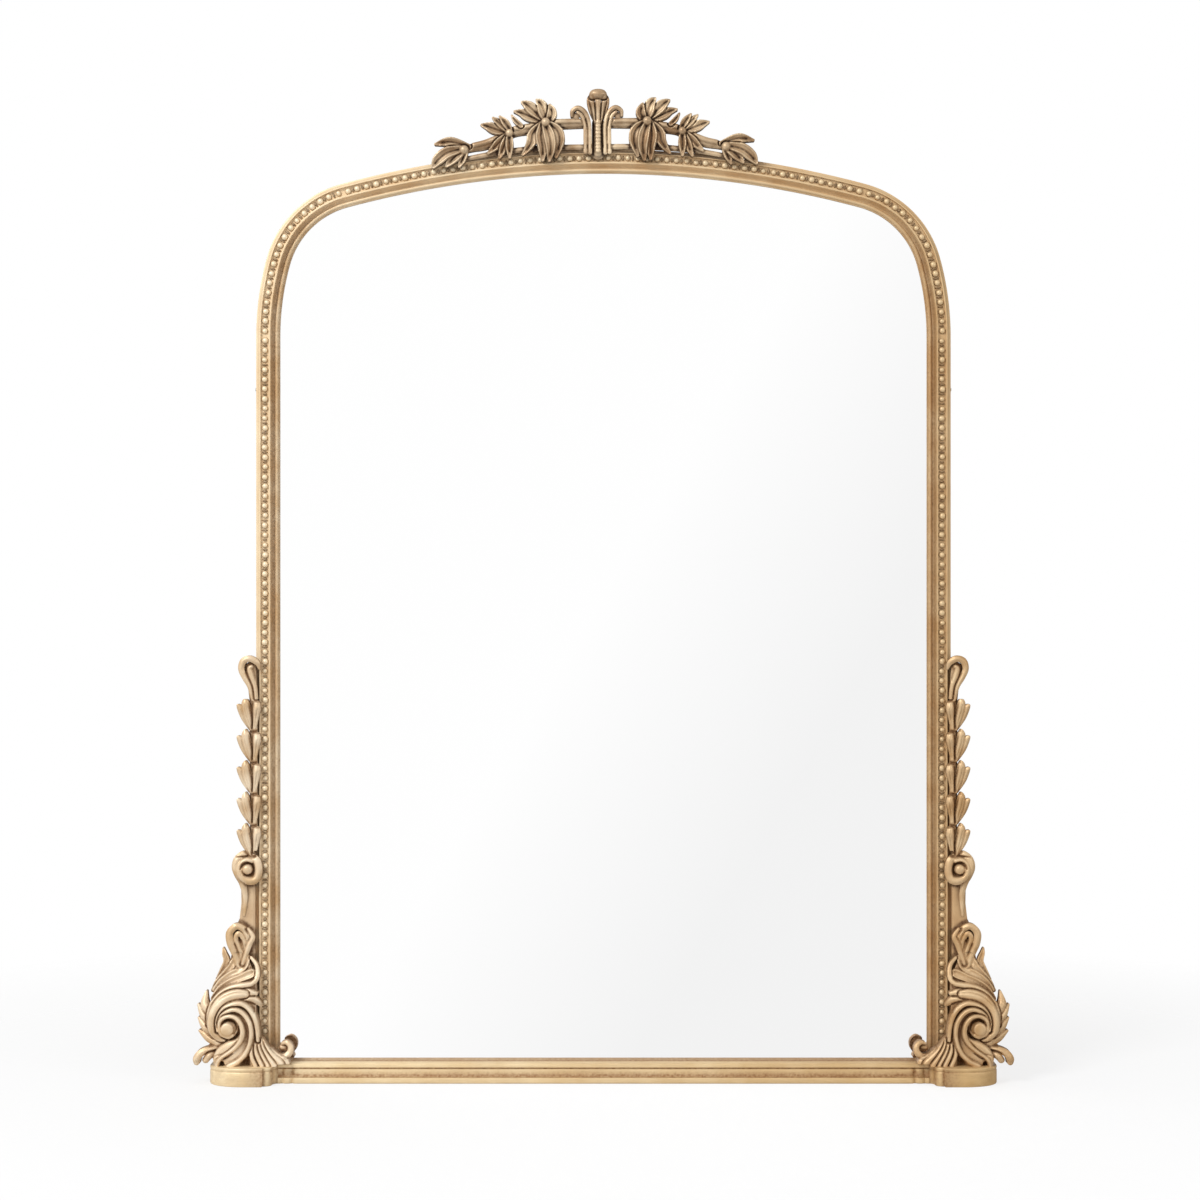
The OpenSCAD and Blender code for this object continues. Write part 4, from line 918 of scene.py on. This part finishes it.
def husk_drop():
    """The husks on their stem, from the lowest one's tip."""
    run = HUSK_PITCH * (HUSK_COUNT - 1)
    stem = rib([[-0.5, -26, 2.4, 4], [-0.5, run / 2, 2.4, 4], [-0.5, run + 2, 2.4, 4]], steps=1)
    return [stem] + [s for i in range(HUSK_COUNT) for s in husk(HUSK_PITCH * i)]


TOP_HOOK = [
    rib([[0.5, -1, 2.6, 4], [-1.5, 12, 3, 4], [-3.4, 22, 4.5, 4.6], [-3.6, 29, 4, 5]], steps=2),
    rib([[-1.6, -1, 1.5, 5], [-4.2, 11, 1.8, 7], [-9, 20, 2.2, 8], [-12, 28, 2.5, 8.6],
         [-10, 35, 2.7, 9], [-4, 37.3, 2.6, 9], [2.4, 33.6, 2.2, 7.6], [4.6, 28, 0.8, 5]], 0.5),
    rib([[1.4, 1, 1.4, 5], [0.2, 12, 1.6, 6.4], [-3, 22, 2.4, 7.6], [-4.4, 28, 2.2, 8],
         [-2.6, 30, 1.4, 8]], 0.5, cut=4)]

VOLUTE_STROKES = [
    rib([[0.6, 8, 5, 5], [0.6, -6, 6, 5]], steps=1),
    rib([[4, 16.5, 1.8, 5], [-4, 13.6, 2.8, 7.6], [-8.6, 9, 3.2, 9], [-10.2, 2, 3.2, 9],
         [-8, -5, 3.2, 8], [-4.4, -13, 2.8, 5.4], [-2, -26, 2, 2.4], [-3, -43, 0.8, 1]], 0.5),
    rib([[3, 12.4, 2, 7], [9, 8, 3.2, 8.6], [10.9, -1, 3.2, 9], [8.8, -8.6, 3.4, 9.4],
         [3.5, -10.6, 3.4, 10], [-3, -8.4, 3, 10], [-6.6, -3, 2.6, 10.2], [-6, 4, 2.4, 10.2],
         [-1.5, 8, 2.4, 9.6], [4, 8, 2.2, 9]], 0.6, cut=1.2),
    groove([[-9.6, 11.5, 0.6, 2], [-4.6, 11.8, 0.8, 3], [1.5, 12, 0.9, 3.5],
            [5.4, 10.4, 0.6, 2.5]]),
    rib([[1, -1, 7, 6], [1, 1, 7, 6]], steps=1),
    groove([[-5.6, 0.4, 0.8, 3], [-4, 4.4, 1.2, 4.5], [0, 6.2, 1.3, 5], [4.4, 4.6, 1.2, 4.5],
            [6, 0.6, 1.2, 5], [4.8, -3.6, 1.1, 4.5], [1.2, -5.8, 0.9, 3.5],
            [-2.4, -5.2, 0.7, 2.5]]),
    dome(0.4, 0, 4.3, 10.4, 0.7, cut=0)]

CROOK = [
    rib([[9.6, 58, 5.4, 5], [9.6, 74, 5.6, 5]], steps=1),
    rib([[8, 56, 2.4, 8], [4, 68, 2.8, 9], [0.5, 77, 3, 10], [0, 86, 3, 10],
         [6, 92, 2.6, 10], [13, 89, 2.4, 9], [16, 81, 2, 8], [15, 73, 1.6, 7]], cut=1.5),
    rib([[13, 60, 1.8, 7], [8.5, 72, 1.8, 8], [5.5, 81, 1.8, 9], [8.5, 85.5, 1.8, 9],
         [12.5, 80, 1.6, 8], [15, 70, 1.6, 7]], cut=1.5),
    rib([[11.5, 57, 1.8, 6], [17.3, 74, 2.2, 7], [21, 82, 1.8, 7], [16.5, 89, 1.2, 6]], cut=1.5)]

HEEL_CURL = [
    rib([[-12, -20.5, 2.4, 13], [-20, -21.5, 2.8, 15], [-26.5, -24.6, 3.1, 16],
         [-29.6, -29, 3.1, 16], [-29.8, -32.5, 2.5, 14]], 0.3),
    rib([[-12, -24.5, 2.4, 11], [-18, -26.5, 3, 14], [-21.6, -30.4, 2.9, 13]], 0.3, cut=3)]

CORNER_CURL = [
    rib([[47.6, -20, 2.4, 7], [50.8, -19.8, 2.8, 7]]),
    rib([[29, -13, 1.2, 15], [34, -20, 1.6, 15.5], [41, -25.6, 2.2, 15], [49.5, -27.8, 2.5, 14.5],
         [55.2, -24.7, 2.6, 14], [56.2, -18.8, 2.3, 13], [53, -15, 1.9, 12],
         [49, -15.6, 1.2, 10]], cut=4)]

BODY = rib([[9, -42, 20, 15], [8, -30, 21, 17], [5, -14, 22, 18], [3, 4, 22, 18.5],
            [4, 20, 20, 15], [7, 38, 17, 11], [9, 54, 10, 8], [8, 62, 7, 6]], 0.5)

# The scroll round the eye, from the outermost leaf inward
UPPER_LEAVES = [
    flute([[-11, 43.5, 1.8, 8], [-6, 52, 2.8, 9], [-3, 60, 2.6, 9], [-5, 67, 1.8, 8],
           [-6, 71.5, 0.7, 6]]),
    flute([[-15.5, 33, 1.6, 9], [-11, 40.5, 2.6, 10], [-5, 47.5, 3, 11],
           [1, 54.5, 3, 10], [4.5, 61.5, 2.4, 9], [4, 67, 1.2, 6]]),
    flute([[-14, 33.5, 1.8, 10], [-7.5, 41, 3, 12], [1, 47.5, 3.2, 12], [8, 51, 3, 11],
           [13.5, 56, 3.2, 10], [17, 63.5, 1.2, 7]]),
    flute([[-15, 26, 1.8, 11], [-8.5, 34.5, 3, 12.5], [1, 41, 3.2, 13], [10, 44.6, 3.4, 13],
           [18.5, 48.2, 4, 12], [20.5, 49.5, 3, 11]]),
    rib([[-19, 2, 1.6, 15], [-18.4, 12, 2, 16], [-14.8, 21.5, 2.3, 17], [-8.5, 29.5, 2.4, 17],
         [-1, 34.8, 2.4, 17], [7, 37.6, 2.3, 16.5], [15, 38.8, 2.2, 16], [21, 39.9, 2, 15],
         [25, 44, 1.8, 13], [26, 50, 1.6, 11], [24.4, 57, 1.3, 9], [19.5, 63, 0.9, 7]], 0.6, cut=5)]

BROAD_LEAF = [
    rib([[14, 27.5, 3, 16.5], [21, 25.8, 3, 14.5], [26, 22.6, 2.4, 12], [29, 19.2, 0.9, 9]],
        0.6, cut=4),
    rib([[10, 31.3, 3, 17], [18, 32, 3.2, 15.5], [24.5, 30.6, 1.6, 13]], 0.6, cut=4),
    rib([[-4, -12, 1.2, 17], [-9, -10, 2.6, 18.5], [-14.5, -4, 3.2, 20], [-16.2, 3, 3.2, 20.5],
         [-15, 11, 3.5, 20.5], [-11.5, 18, 4.4, 20], [-6, 24.5, 5, 19.5], [1, 28.5, 5.3, 19],
         [9, 30.3, 5, 18], [15, 30.4, 3.4, 17]], 0.72, cut=5),
    groove([[-13, 21, 0.5, 0.6], [-6, 27.3, 0.7, 1.4], [2, 31, 0.7, 1.6], [10, 32.2, 0.7, 1.6],
            [19, 31.2, 0.6, 1.2]])]

LOWER_LEAF = [
    rib([[11, -9, 2.4, 21], [6, -14, 4, 21], [0, -18, 5, 20.5], [-6, -22, 4.6, 19.5],
         [-10.5, -27, 3.2, 18.5], [-11, -34, 2.2, 17]], 0.8, cut=4),
    groove([[-13, -26.3, 0.6, 1.6], [-8, -24.8, 0.7, 2], [-2, -22.8, 0.6, 1.4],
            [5, -17.5, 0.5, 0.8]]),
    groove([[-8, -29.8, 0.9, 2.6], [-2, -27.6, 0.9, 2.4], [4, -23.6, 0.6, 1.4]])]

FAN_RIDGES = [rib(points, 0.6, cut=3.5) for points in (
    [[38, -20.5, 1.6, 16], [45, -27, 2.4, 18], [51.5, -31, 3, 18.5], [54, -36, 2.6, 18]],
    [[30, -11, 1.4, 17.5], [35, -19, 1.8, 18.5], [41.5, -26.5, 2.6, 19.5], [48, -33, 3.2, 19.5],
     [49, -39, 3, 19]],
    [[28.6, -10, 1.4, 18], [31.6, -19, 1.7, 19], [36.3, -27, 2.2, 20], [41, -34, 2.7, 20],
     [42, -40, 2.6, 20]],
    [[26.6, -9, 1.4, 18.5], [28, -19, 1.7, 19.5], [32, -28, 2, 20], [36, -36, 2.3, 20],
     [36.5, -40, 2.2, 20]],
    [[24.6, -8, 1.5, 19], [24.4, -18, 1.6, 19.5], [27, -27, 1.9, 20], [31, -35.5, 2.2, 20],
     [31.5, -40, 2.2, 20]],
    [[22.6, -6, 1.5, 19], [20.8, -18, 1.6, 19.5], [21.5, -27, 1.9, 20], [25, -35.5, 2.2, 20],
     [25.5, -40, 2.2, 20]])]

SCROLL = [
    rib([[-9.8, -3, 1.2, 20], [-10.3, 4, 1.5, 21.5], [-8.5, 11, 1.8, 22], [-4, 17.4, 2, 22.5],
         [2, 21, 2.1, 22.5], [9, 22.5, 2.1, 22], [15, 20.6, 2.1, 21.5], [20.4, 15.4, 2, 21],
         [24.4, 7, 2, 20], [26.4, -3, 1.9, 19.5], [27, -12, 1.5, 19]], 0.7, cut=6),
    rib([[-8.8, 4, 1.2, 21], [-6.5, 10.3, 1.5, 22], [-1.5, 15, 1.8, 22.5], [5, 17, 2, 23],
         [11, 15.4, 2.1, 23], [16, 11, 2.1, 23], [19.8, 4.5, 2.1, 23], [21.2, -3, 2, 22.5],
         [20.6, -11, 1.8, 22], [18.2, -19, 1.9, 22], [14, -26, 2.2, 21.5], [8, -31.5, 2.4, 21],
         [1, -35, 2.6, 20.5], [-1, -38, 2.4, 20]], 0.7, cut=4.5),
    rib([[-8.4, 0, 1.4, 20.5], [-7.6, 6, 1.6, 21.5], [-3.6, 9.8, 1.7, 22], [2, 11, 1.8, 22.5],
         [7.6, 9, 2, 23], [11.6, 4, 2.2, 23], [13.2, -2, 2.3, 23], [12.6, -8.5, 2.3, 22.5],
         [9.5, -14.5, 2, 22], [4.5, -19.5, 1.7, 21.5], [-1, -23.6, 1.5, 21], [-6, -27, 1.5, 20.5],
         [-9.5, -31, 1.8, 20], [-10.5, -36, 1.8, 19]], 0.7, cut=3),
    groove([[9.2, 1, 1.2, 4], [9.4, -4, 1.9, 6], [7.2, -8.3, 2.1, 7], [3, -10.2, 1.7, 6],
            [-1, -10.6, 1, 3]]),
    groove([[-5.2, 3.4, 0.6, 2], [-4, 5.2, 1.1, 5], [-1, 6.9, 1.4, 6], [3, 6.3, 1.4, 6],
            [6.3, 3.8, 1.2, 6], [7.5, 0, 0.9, 5], [6.8, -3.6, 0.6, 3], [4.5, -6.6, 0.5, 1.5]]),
    rib([[-8, -1, 2.2, 20.5], [-5.5, -5, 3, 21], [0, -7.6, 2.6, 21], [4, -6.6, 1.6, 21]], 0.8),
    dome(-0.8, -1, 5.8, 23, 0.93, cut=0)]

HOLES = [
    groove([[18.5, -27, 1.2, 7], [15.5, -33, 4.5, 10], [14.5, -38, 6.5, 10]]),
    groove([[-6.6, -32.5, 1.8, 6], [-6.6, -35, 3, 9], [-6.6, -38, 3, 9]])]


def teeth():
    """Leaf teeth down the outer side of the acanthus, from root to tip."""
    tips = [[-21.3, 32], [-28.8, 20], [-28.5, 8], [-27.8, -4], [-18.5, -17.5]]
    roots = [[-14, 13], [-13.5, 5], [-13.5, -5], [-10, -13], [-2, -18]]
    bows = [[-22.2, 20], [-22.5, 10.5], [-21.5, 0], [-18.5, -10], [-10, -19]]
    return [rib([[*r, 5, 15.5], [*b, 4, 13], [*t, 0.7, 9]], 0.55, cut=3.5)
            for t, r, b in zip(tips[::-1], roots[::-1], bows[::-1])]


LEAVES_BEHIND = [BODY, *teeth(), *UPPER_LEAVES]
LEAVES_OVER = [*BROAD_LEAF, *LOWER_LEAF]
RIDGES = [*FAN_RIDGES, *SCROLL, *HOLES]

WING_BOARD = [[0, 0], [-20.5, 0], [-31.5, 6], [-39.5, 23.6], [-40.5, 45.6], [-37.5, 60.6],
              [-31.5, 75.6], [-23.5, 91.6], [-19.5, 103.6], [-20.5, 113.6], [-20.5, 121.6],
              [-17.5, 127.6], [-14.5, 133.6], [-12.8, 148], [-13, 160], [-14.5, 167],
              [-17.5, 175], [-17.5, 183], [-14.5, 191], [-8.5, 196], [-5, 201], [-5.5, 337],
              [-7, 351], [-10, 361], [-9, 369], [-4, 372.5], [0, 372]]


def polygon_gap(outline, x, y):
    """Signed distance to a closed outline, negative inside: the least distance to a segment,
    and inside where a level line from the place crosses the outline an odd number of times."""
    a = np.asarray(outline, float)
    b = np.roll(a, -1, 0)
    gap = along(a, b, x, y)[1].min(-1)
    level, rise = y[..., None], b[:, 1] - a[:, 1]
    cross = a[:, 0] + (level - a[:, 1]) * (b[:, 0] - a[:, 0]) / np.where(rise == 0, 1e-9, rise)
    crossed = ((a[:, 1] > level) != (b[:, 1] > level)) & (x[..., None] < cross)
    return np.where(crossed.sum(-1) % 2 == 1, -gap, gap)


SIDE_X, SIDE_H = (-378.6, -278.8), (14.6, 397.0)    # what the left side's grid spans
SHADE_W = 1.6       # width of the dark line where the board meets the stile


def side_ornament(side, sign):
    """The carvings of one side with the board behind them. They are drawn for the left; sign
    -1 mirrors them to the right. Hollows are judged over the whole composition."""
    xs = np.arange(*SIDE_X, CELL)
    x, y = np.meshgrid(xs if sign > 0 else -xs[::-1], np.arange(*SIDE_H, CELL))

    def placed(strokes, place=EYE):
        return moved(strokes, place, sign)

    def cut(rule):
        """A cut that is drawn for the left side, read on this one."""
        return lambda gx, gy: rule(gx * sign, gy)

    def foot(gx, gy):
        """Ends the acanthus at the plinth's top, and above the rail past the stile."""
        return np.maximum(PLINTH_H - gy, np.where(gx > -HALF_W, CORNER_FOOT - gy, -FAR))

    behind, over, ridges = placed(LEAVES_BEHIND), placed(LEAVES_OVER), placed(RIDGES)
    crook, heel, corner = placed(CROOK), placed(HEEL_CURL), placed(CORNER_CURL)
    volute, husks = placed(VOLUTE_STROKES, VOLUTE), placed(husk_drop(), HUSKS)
    hook = placed(TOP_HOOK, HOOK)
    composition = composed(
        behind + crook + heel + over + corner + ridges + volute + husks + hook, x, y)
    pieces = {
        "acanthus": [(behind + over + ridges, cut(foot)),
                     (crook, cut(lambda a, b: b - CROOK_Y)),
                     (heel, cut(lambda a, b: HEEL_X - a)),
                     (corner, cut(lambda a, b: np.maximum(a - CORNER_X, foot(a, b))))],
        "crook": [(crook, cut(lambda a, b: CROOK_Y - b))],
        "heel_curl": [(heel, cut(lambda a, b: np.maximum(a - HEEL_X, PLINTH_H - b)))],
        "corner_curl": [(corner, cut(lambda a, b: CORNER_X - a))],
        "volute": [(volute, cut(lambda a, b: b - VOLUTE_Y))],
        "husk_drop": [(husks, cut(lambda a, b: np.maximum(VOLUTE_Y - b, b - HOOK_Y)))],
        "top_hook": [(hook, cut(lambda a, b: HOOK_Y - b))]}
    for key, groups in pieces.items():
        carved_piece(side + "_" + key, "gilt_carving", composition, groups)

    high, from_stile = composition[3], x * sign - STILE_FOOT[0]
    # Painted shade on the board: darker round the carvings and along the line where it meets the
    # stile; it goes in as the recess mark.
    shade = np.maximum(np.clip(soften(high, 12) / 5.0, 0, 1),
                       0.3 * np.clip(1 - np.abs(from_stile) / SHADE_W, 0, 1))
    x, y, from_stile, shade = (v[::2, ::2] for v in (x, y, from_stile, shade))
    gap = polygon_gap(WING_BOARD, from_stile, y - STILE_FOOT[1])
    arris = 2.0
    round_edge = np.clip(1 + gap / arris, 0, 1)
    points, faces, used = relief_mesh(x, y, BOARD_T - arris * round_edge ** 2, gap,
                                      MOULDING_D - BOARD_T)
    marks = {"recess": np.tile(shade[used], 2), "worn": np.tile(round_edge[used] * 0.4, 2)}
    make("board_" + side, points, faces, side + "_wing_board", "gilt_board", marks)


side_ornament("left", 1)
side_ornament("right", -1)


# -------------------------------- crest

def vein(leaf_stroke, share=0.22, depth=1.5):
    """The cut line down the middle of a leaf, from near its root to near its tip, as wide as a
    share of the leaf."""
    x, y, width, _ = leaf_stroke["line"][3:-4].T
    line = [x, y, np.clip(width * share, 0.45, 1.0), np.full(len(x), depth)]
    return stroke(np.transpose(line), form="groove")


def plume():
    """Fluted feather on a knotted stem, from the top of the glass opening."""
    strokes = [rib([[0, 16.6, 5.4, 4], [0, 44, 5.4, 4]], steps=1),
               rib([[0, 17, 3.7, 7], [0, 46, 3.6, 7]], steps=1)]
    for s in (-1, 1):
        strokes += [rib([[s * 2.5, 46, 1.4, 6], [s * 6.4, 56, 2, 8], [s * 8.2, 64, 2, 9],
                         [s * 8.2, 68, 1, 8]], cut=2.5),
                    rib([[s * 1.5, 43, 1.6, 7], [s * 4, 57, 2, 9], [s * 6, 66, 2.2, 11],
                         [s * 5.4, 70, 1.4, 10]], cut=3)]
    strokes += [rib([[0, 42, 1.4, 8], [0, 57, 2, 10], [0, 67, 2.6, 11]], cut=3.5),
                rib([[-5.2, 68.4, 3, 11], [-3, 70.2, 4, 13], [3, 70.2, 4, 13],
                     [5.2, 68.4, 3, 11]], 0.55, cut=4)]
    return strokes + [dome(0, 18.6 + 3.3 * i, 2.3, 9.4, 0.8, cut=1) for i in range(9)]


def spray():
    """Left-hand spray: a C-scroll, a branch with two groups of leaves, a leafy end, and a low
    rail along the arch."""
    low = [[-101, 16.5, 4.2], [-91, 12, 3.8], [-81.5, 12.5, 3.6]]
    strokes = [
        rib([[-7, 22.4, 2.2, 4.6], [-33, 22.1, 2.2, 4.7], [-66, 20.3, 2.3, 4.7],
             [-95, 16.7, 2, 4.6], [-121, 11.7, 1.8, 4.6]]),
        rib([[-11, 44, 4, 6.5], [-28, 43.5, 4.2, 6.5], [-46, 42.5, 4.4, 7], [-62, 39, 4.6, 7],
             [-78, 36, 4.4, 7], [-90, 29.5, 4.4, 7], [-104, 24, 4, 7], [-116, 21.5, 3.4, 7],
             [-128, 18, 2.6, 7]], 0.3),
        rib([[-11, 45.6, 1.9, 8.4], [-28, 45.4, 2, 8.4], [-46, 44.6, 2, 9], [-62, 41.2, 2.1, 9],
             [-78, 38.2, 2, 9], [-90, 31.6, 2.2, 9], [-104, 26, 2.2, 9], [-116, 23, 2, 9],
             [-128, 19, 1.6, 8.6]], 0.5, cut=1),
        rib([[-7.6, 17, 1.7, 7.6], [-7.8, 30, 1.7, 8.4], [-8.4, 43, 1.7, 9.2], [-11.6, 53, 1.7, 10],
             [-18, 57.8, 1.7, 10.2], [-23.6, 55, 1.5, 9.4], [-24.2, 50.6, 1.1, 8.4]], cut=2),
        rib([[-11.6, 17, 1.5, 7], [-11.7, 30, 1.5, 7.6], [-12, 41, 1.5, 8.2], [-14.6, 50, 1.4, 8.6],
             [-18.6, 53.6, 1.3, 8.8]], cut=2),
        dome(-20.2, 50.6, 2.8, 6.5, 0.9, cut=0),
        leaf([[-71, 41.5, 2, 8.5], [-76, 46, 2, 8.8], [-79.5, 51, 0.7, 7]]),
        leaf([[-50, 45, 2, 8.2], [-63.3, 50.4, 5, 10.5], [-71, 53.4, 2.8, 10],
              [-77, 54.5, 0.8, 9]]),
        leaf([[-48.5, 46, 2, 8], [-60, 56, 5.2, 11], [-66, 61, 3, 10.5], [-70, 63, 0.9, 9]]),
        leaf([[-47.4, 46, 2.6, 9], [-49.5, 54, 5.6, 12], [-52.5, 61, 4, 11],
              [-56.5, 65, 0.9, 9.5]]),
        leaf([[-46, 45, 3, 8.5], [-42.5, 52.5, 4.4, 10.5], [-44.5, 60, 1.4, 9]]),
        leaf([[-46, 43, 3, 10], [-37.8, 37, 4.5, 12], [-35.2, 27, 4.2, 12], [-38.5, 13, 1.2, 9]]),
        leaf([[-53, 42.6, 2.6, 9], [-60, 34, 4.4, 11], [-62, 25, 4, 11], [-69.3, 15, 1, 8]]),
        leaf([[-51, 43, 3, 10.4], [-52.5, 32, 5, 13], [-51, 21, 4.2, 12], [-51, 10, 1.2, 9]]),
        leaf([[-49, 43, 3, 11], [-45, 32, 5.2, 14], [-43.5, 21, 4.4, 13], [-45, 9.5, 1.2, 9]]),
        dome(-48.4, 44.4, 3.8, 14.5),
        leaf([[-82, 34, 2, 8.4], [-95, 38.5, 4.8, 10], [-102, 41, 3, 9.5], [-107.5, 42.3, 0.8, 8]]),
        leaf([[-81.5, 36, 2, 8.5], [-89.5, 43, 3.4, 10], [-96.8, 48.8, 0.8, 8]]),
        leaf([[-80.6, 36.8, 2, 8.2], [-85, 43.5, 3.2, 10.2], [-90.5, 49.8, 0.9, 8]]),
        *[leaf([[-80.5 + t[0] / 60, 34.6 - t[1] / 30, 2.2, 8.6],
                [(t[0] - 82) / 2, (t[1] + 34) / 2, t[2], 10], [t[0], t[1], 1, 8]]) for t in low],
        dome(-81.8, 34.8, 3.4, 11.5),
        leaf([[-119, 22.4, 2, 8.2], [-136, 26.5, 4, 11], [-150, 24.5, 0.9, 8]]),
        leaf([[-121.6, 20.6, 2.1, 8.1], [-124.5, 12, 3.2, 9], [-128, 4, 0.9, 7]]),
        leaf([[-122.4, 20, 2.5, 8.8], [-132, 13, 4.8, 10], [-139.5, 4.5, 1, 8]]),
        leaf([[-123, 20.8, 2.7, 8.5], [-138, 16.8, 5, 11], [-147, 10.5, 4.8, 10],
              [-152, 4, 1.6, 8]]),
        dome(-123.6, 19.4, 4.2, 10.6)]
    return [part for each in strokes
            for part in ((each, vein(each)) if each["form"] == "spoon" else (each,))]


def raised(strokes, share, degrees):
    """The spray made narrower by a share and turned up about the crest's middle."""
    c, s = turn(degrees)
    turned = np.array([[share * c, -share * s], [s, c]])
    return [{**each, "line": np.hstack([each["line"][:, :2] @ turned, each["line"][:, 2:]])}
            for each in strokes]


def crest():
    """Both sprays and the plume between them."""
    half, foot, top = 156, 1, 78        # what the grid spans, from the crest's own place
    x, y = np.meshgrid(np.arange(CREST[0] - half, CREST[0] + half + CELL, CELL),
                       np.arange(CREST[1] + foot, CREST[1] + top + CELL, CELL))
    right_spray = raised(spray(), SPRAY_SHARE, SPRAY_LIFT)
    parts = {"crest_plume": moved(plume(), CREST),
             "left_crest_spray": moved(spray(), CREST),
             "right_crest_spray": moved(right_spray, [-CREST[0], CREST[1]], -1)}
    composition = composed([s for strokes in parts.values() for s in strokes], x, y)
    for key, strokes in parts.items():
        carved_piece(key, "gilt_crest", composition, [(strokes, uncut)])


crest()


# -------------------------------- pieces kept from the CAD

backing_wood = streaked("backing_board", (150, 112, 74), (116, 82, 52), (1, 1, 0.25),
                        900.0, 60.0, 0.75)
dowel_wood = streaked("dowel_wood", (206, 172, 124), (170, 132, 86), (1, 1, 0.1),
                      1200.0, 160.0, 0.6)
plated_steel = streaked("plated_steel", (196, 192, 184), (150, 146, 138), (1, 1, 0.12),
                        2600.0, 300.0, 0.34, 1.0, 0.00003)
screw_steel = streaked("screw_steel", (176, 170, 158), (120, 114, 104), (1, 1, 1),
                       2400.0, 500.0, 0.38, 1.0, 0.00003)
KEPT = {mirror_silver(): ["mirror_glass"], backing_wood: ["backing_board"],
        dowel_wood: ["frame_dowels"], felt(): ["wall_bumpers"],
        screw_steel: ["clip_screws", "hanger_screws"],
        plated_steel: ["retaining_clips", "left_hanger_strap", "right_hanger_strap",
                       "left_hanger_ring", "right_hanger_ring"]}
for material, nodes in KEPT.items():
    for node in nodes:
        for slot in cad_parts[node].material_slots:
            slot.material = material


# -------------------------------- studio

SKY = 0.62          # strength of the even light on matt surfaces
FLOOR_R = 1.6       # metres
LENS = 84.05
EYE_PLACE = np.array([-3.2, -2590.6, 445.4]) * MM


def studio_world():
    """White to the camera, an even pale light on matt surfaces, and for reflections a bright
    front that fades a little to the lower right, with greys to the sides that give the metal
    its contrast."""
    world = bpy.data.worlds.new("studio")
    world.use_nodes = True
    tree = world.node_tree
    x, y, z = add_node(tree, "SeparateXYZ", add_node(tree, "TexCoord").outputs["Generated"]).outputs
    ahead = maths(tree, "MAXIMUM", product(tree, y, -1.0), 0.05)
    slant = maths(tree, "SUBTRACT", product(tree, x, 0.862), product(tree, z, 0.508))
    front = spread(tree, maths(tree, "DIVIDE", slant, ahead), 0.0, 0.094, 1.0, 0.896)
    side = spread(tree, slant, -0.75, 0.55, 0.95, 0.14)
    reflected = total(tree, product(tree, front, spread(tree, ahead, 0.93, 0.97)),
                      product(tree, side, spread(tree, ahead, 0.93, 0.97, 1.0, 0.0)))

    def seen_by(rays, inside, outside):
        """The first value for these rays, and the other for the rest."""
        share = add_node(tree, "LightPath").outputs[rays]
        return total(tree, product(tree, share, inside),
                     product(tree, maths(tree, "SUBTRACT", 1.0, share), outside))

    light = seen_by("Is Camera Ray", 1.0, seen_by("Is Glossy Ray", reflected, SKY))
    feed(tree, tree.nodes["Background"].inputs["Strength"], light)
    feed(tree, tree.nodes["Background"].inputs["Color"], (1, 1, 1, 1))
    bpy.context.scene.world = world


def lamp(name, place, target, size, watts):
    """A square soft lamp that points at a target."""
    data = bpy.data.lights.new(name, "AREA")
    data.shape, data.size, data.energy = "SQUARE", size, watts
    light = in_scene(data, name)
    light.location = place
    light.rotation_euler = (Vector(target) - Vector(place)).to_track_quat("-Z", "Y").to_euler()


def floor(sides=96):
    """A round white floor that keeps the shadow and melts into the white round it. Reflections
    pass through it."""
    ring = turn(np.arange(sides) * 360 / sides) * FLOOR_R
    mesh = bpy.data.meshes.new("floor")
    mesh.from_pydata(np.column_stack([ring, np.zeros(sides)]).tolist(), [], [list(range(sides))])
    material, tree, shader = surface("floor", Base_Color=(0.93, 0.93, 0.93, 1), Roughness=0.9,
                                     Specular_IOR_Level=0.0)
    distance = add_node(tree, "VectorMath", object_place(tree), operation="LENGTH")
    path = add_node(tree, "LightPath").outputs
    white = add_node(tree, "MixShader", product(tree, path["Is Camera Ray"], 0.72),
                     shader.outputs[0], add_node(tree, "Emission").outputs[0])
    clear = maths(tree, "MAXIMUM", path["Is Glossy Ray"],
                  spread(tree, distance.outputs["Value"], 0.45, 1.1))
    melted = add_node(tree, "MixShader", clear, white.outputs[0],
                      add_node(tree, "BsdfTransparent").outputs[0])
    feed(tree, tree.nodes["Material Output"].inputs["Surface"], melted.outputs[0])
    mesh.materials.append(material)
    ground = in_scene(mesh, "floor")


def camera():
    """Level, at mid-height and straight in front."""
    data = bpy.data.cameras.new("camera")
    data.lens, data.clip_end = LENS, 50.0
    eye = in_scene(data, "camera")
    eye.location = EYE_PLACE
    eye.rotation_euler = (math.pi / 2, 0, 0)
    bpy.context.scene.camera = eye


bpy.context.scene.view_settings.view_transform = "Standard"
studio_world()
lamp("key", (-1.7, -2.3, 2.3), (0, 0, 0.45), 1.1, 62.0)
lamp("fill", (1.9, -1.6, 0.9), (0, 0, 0.5), 1.2, 10.0)
floor()
camera()
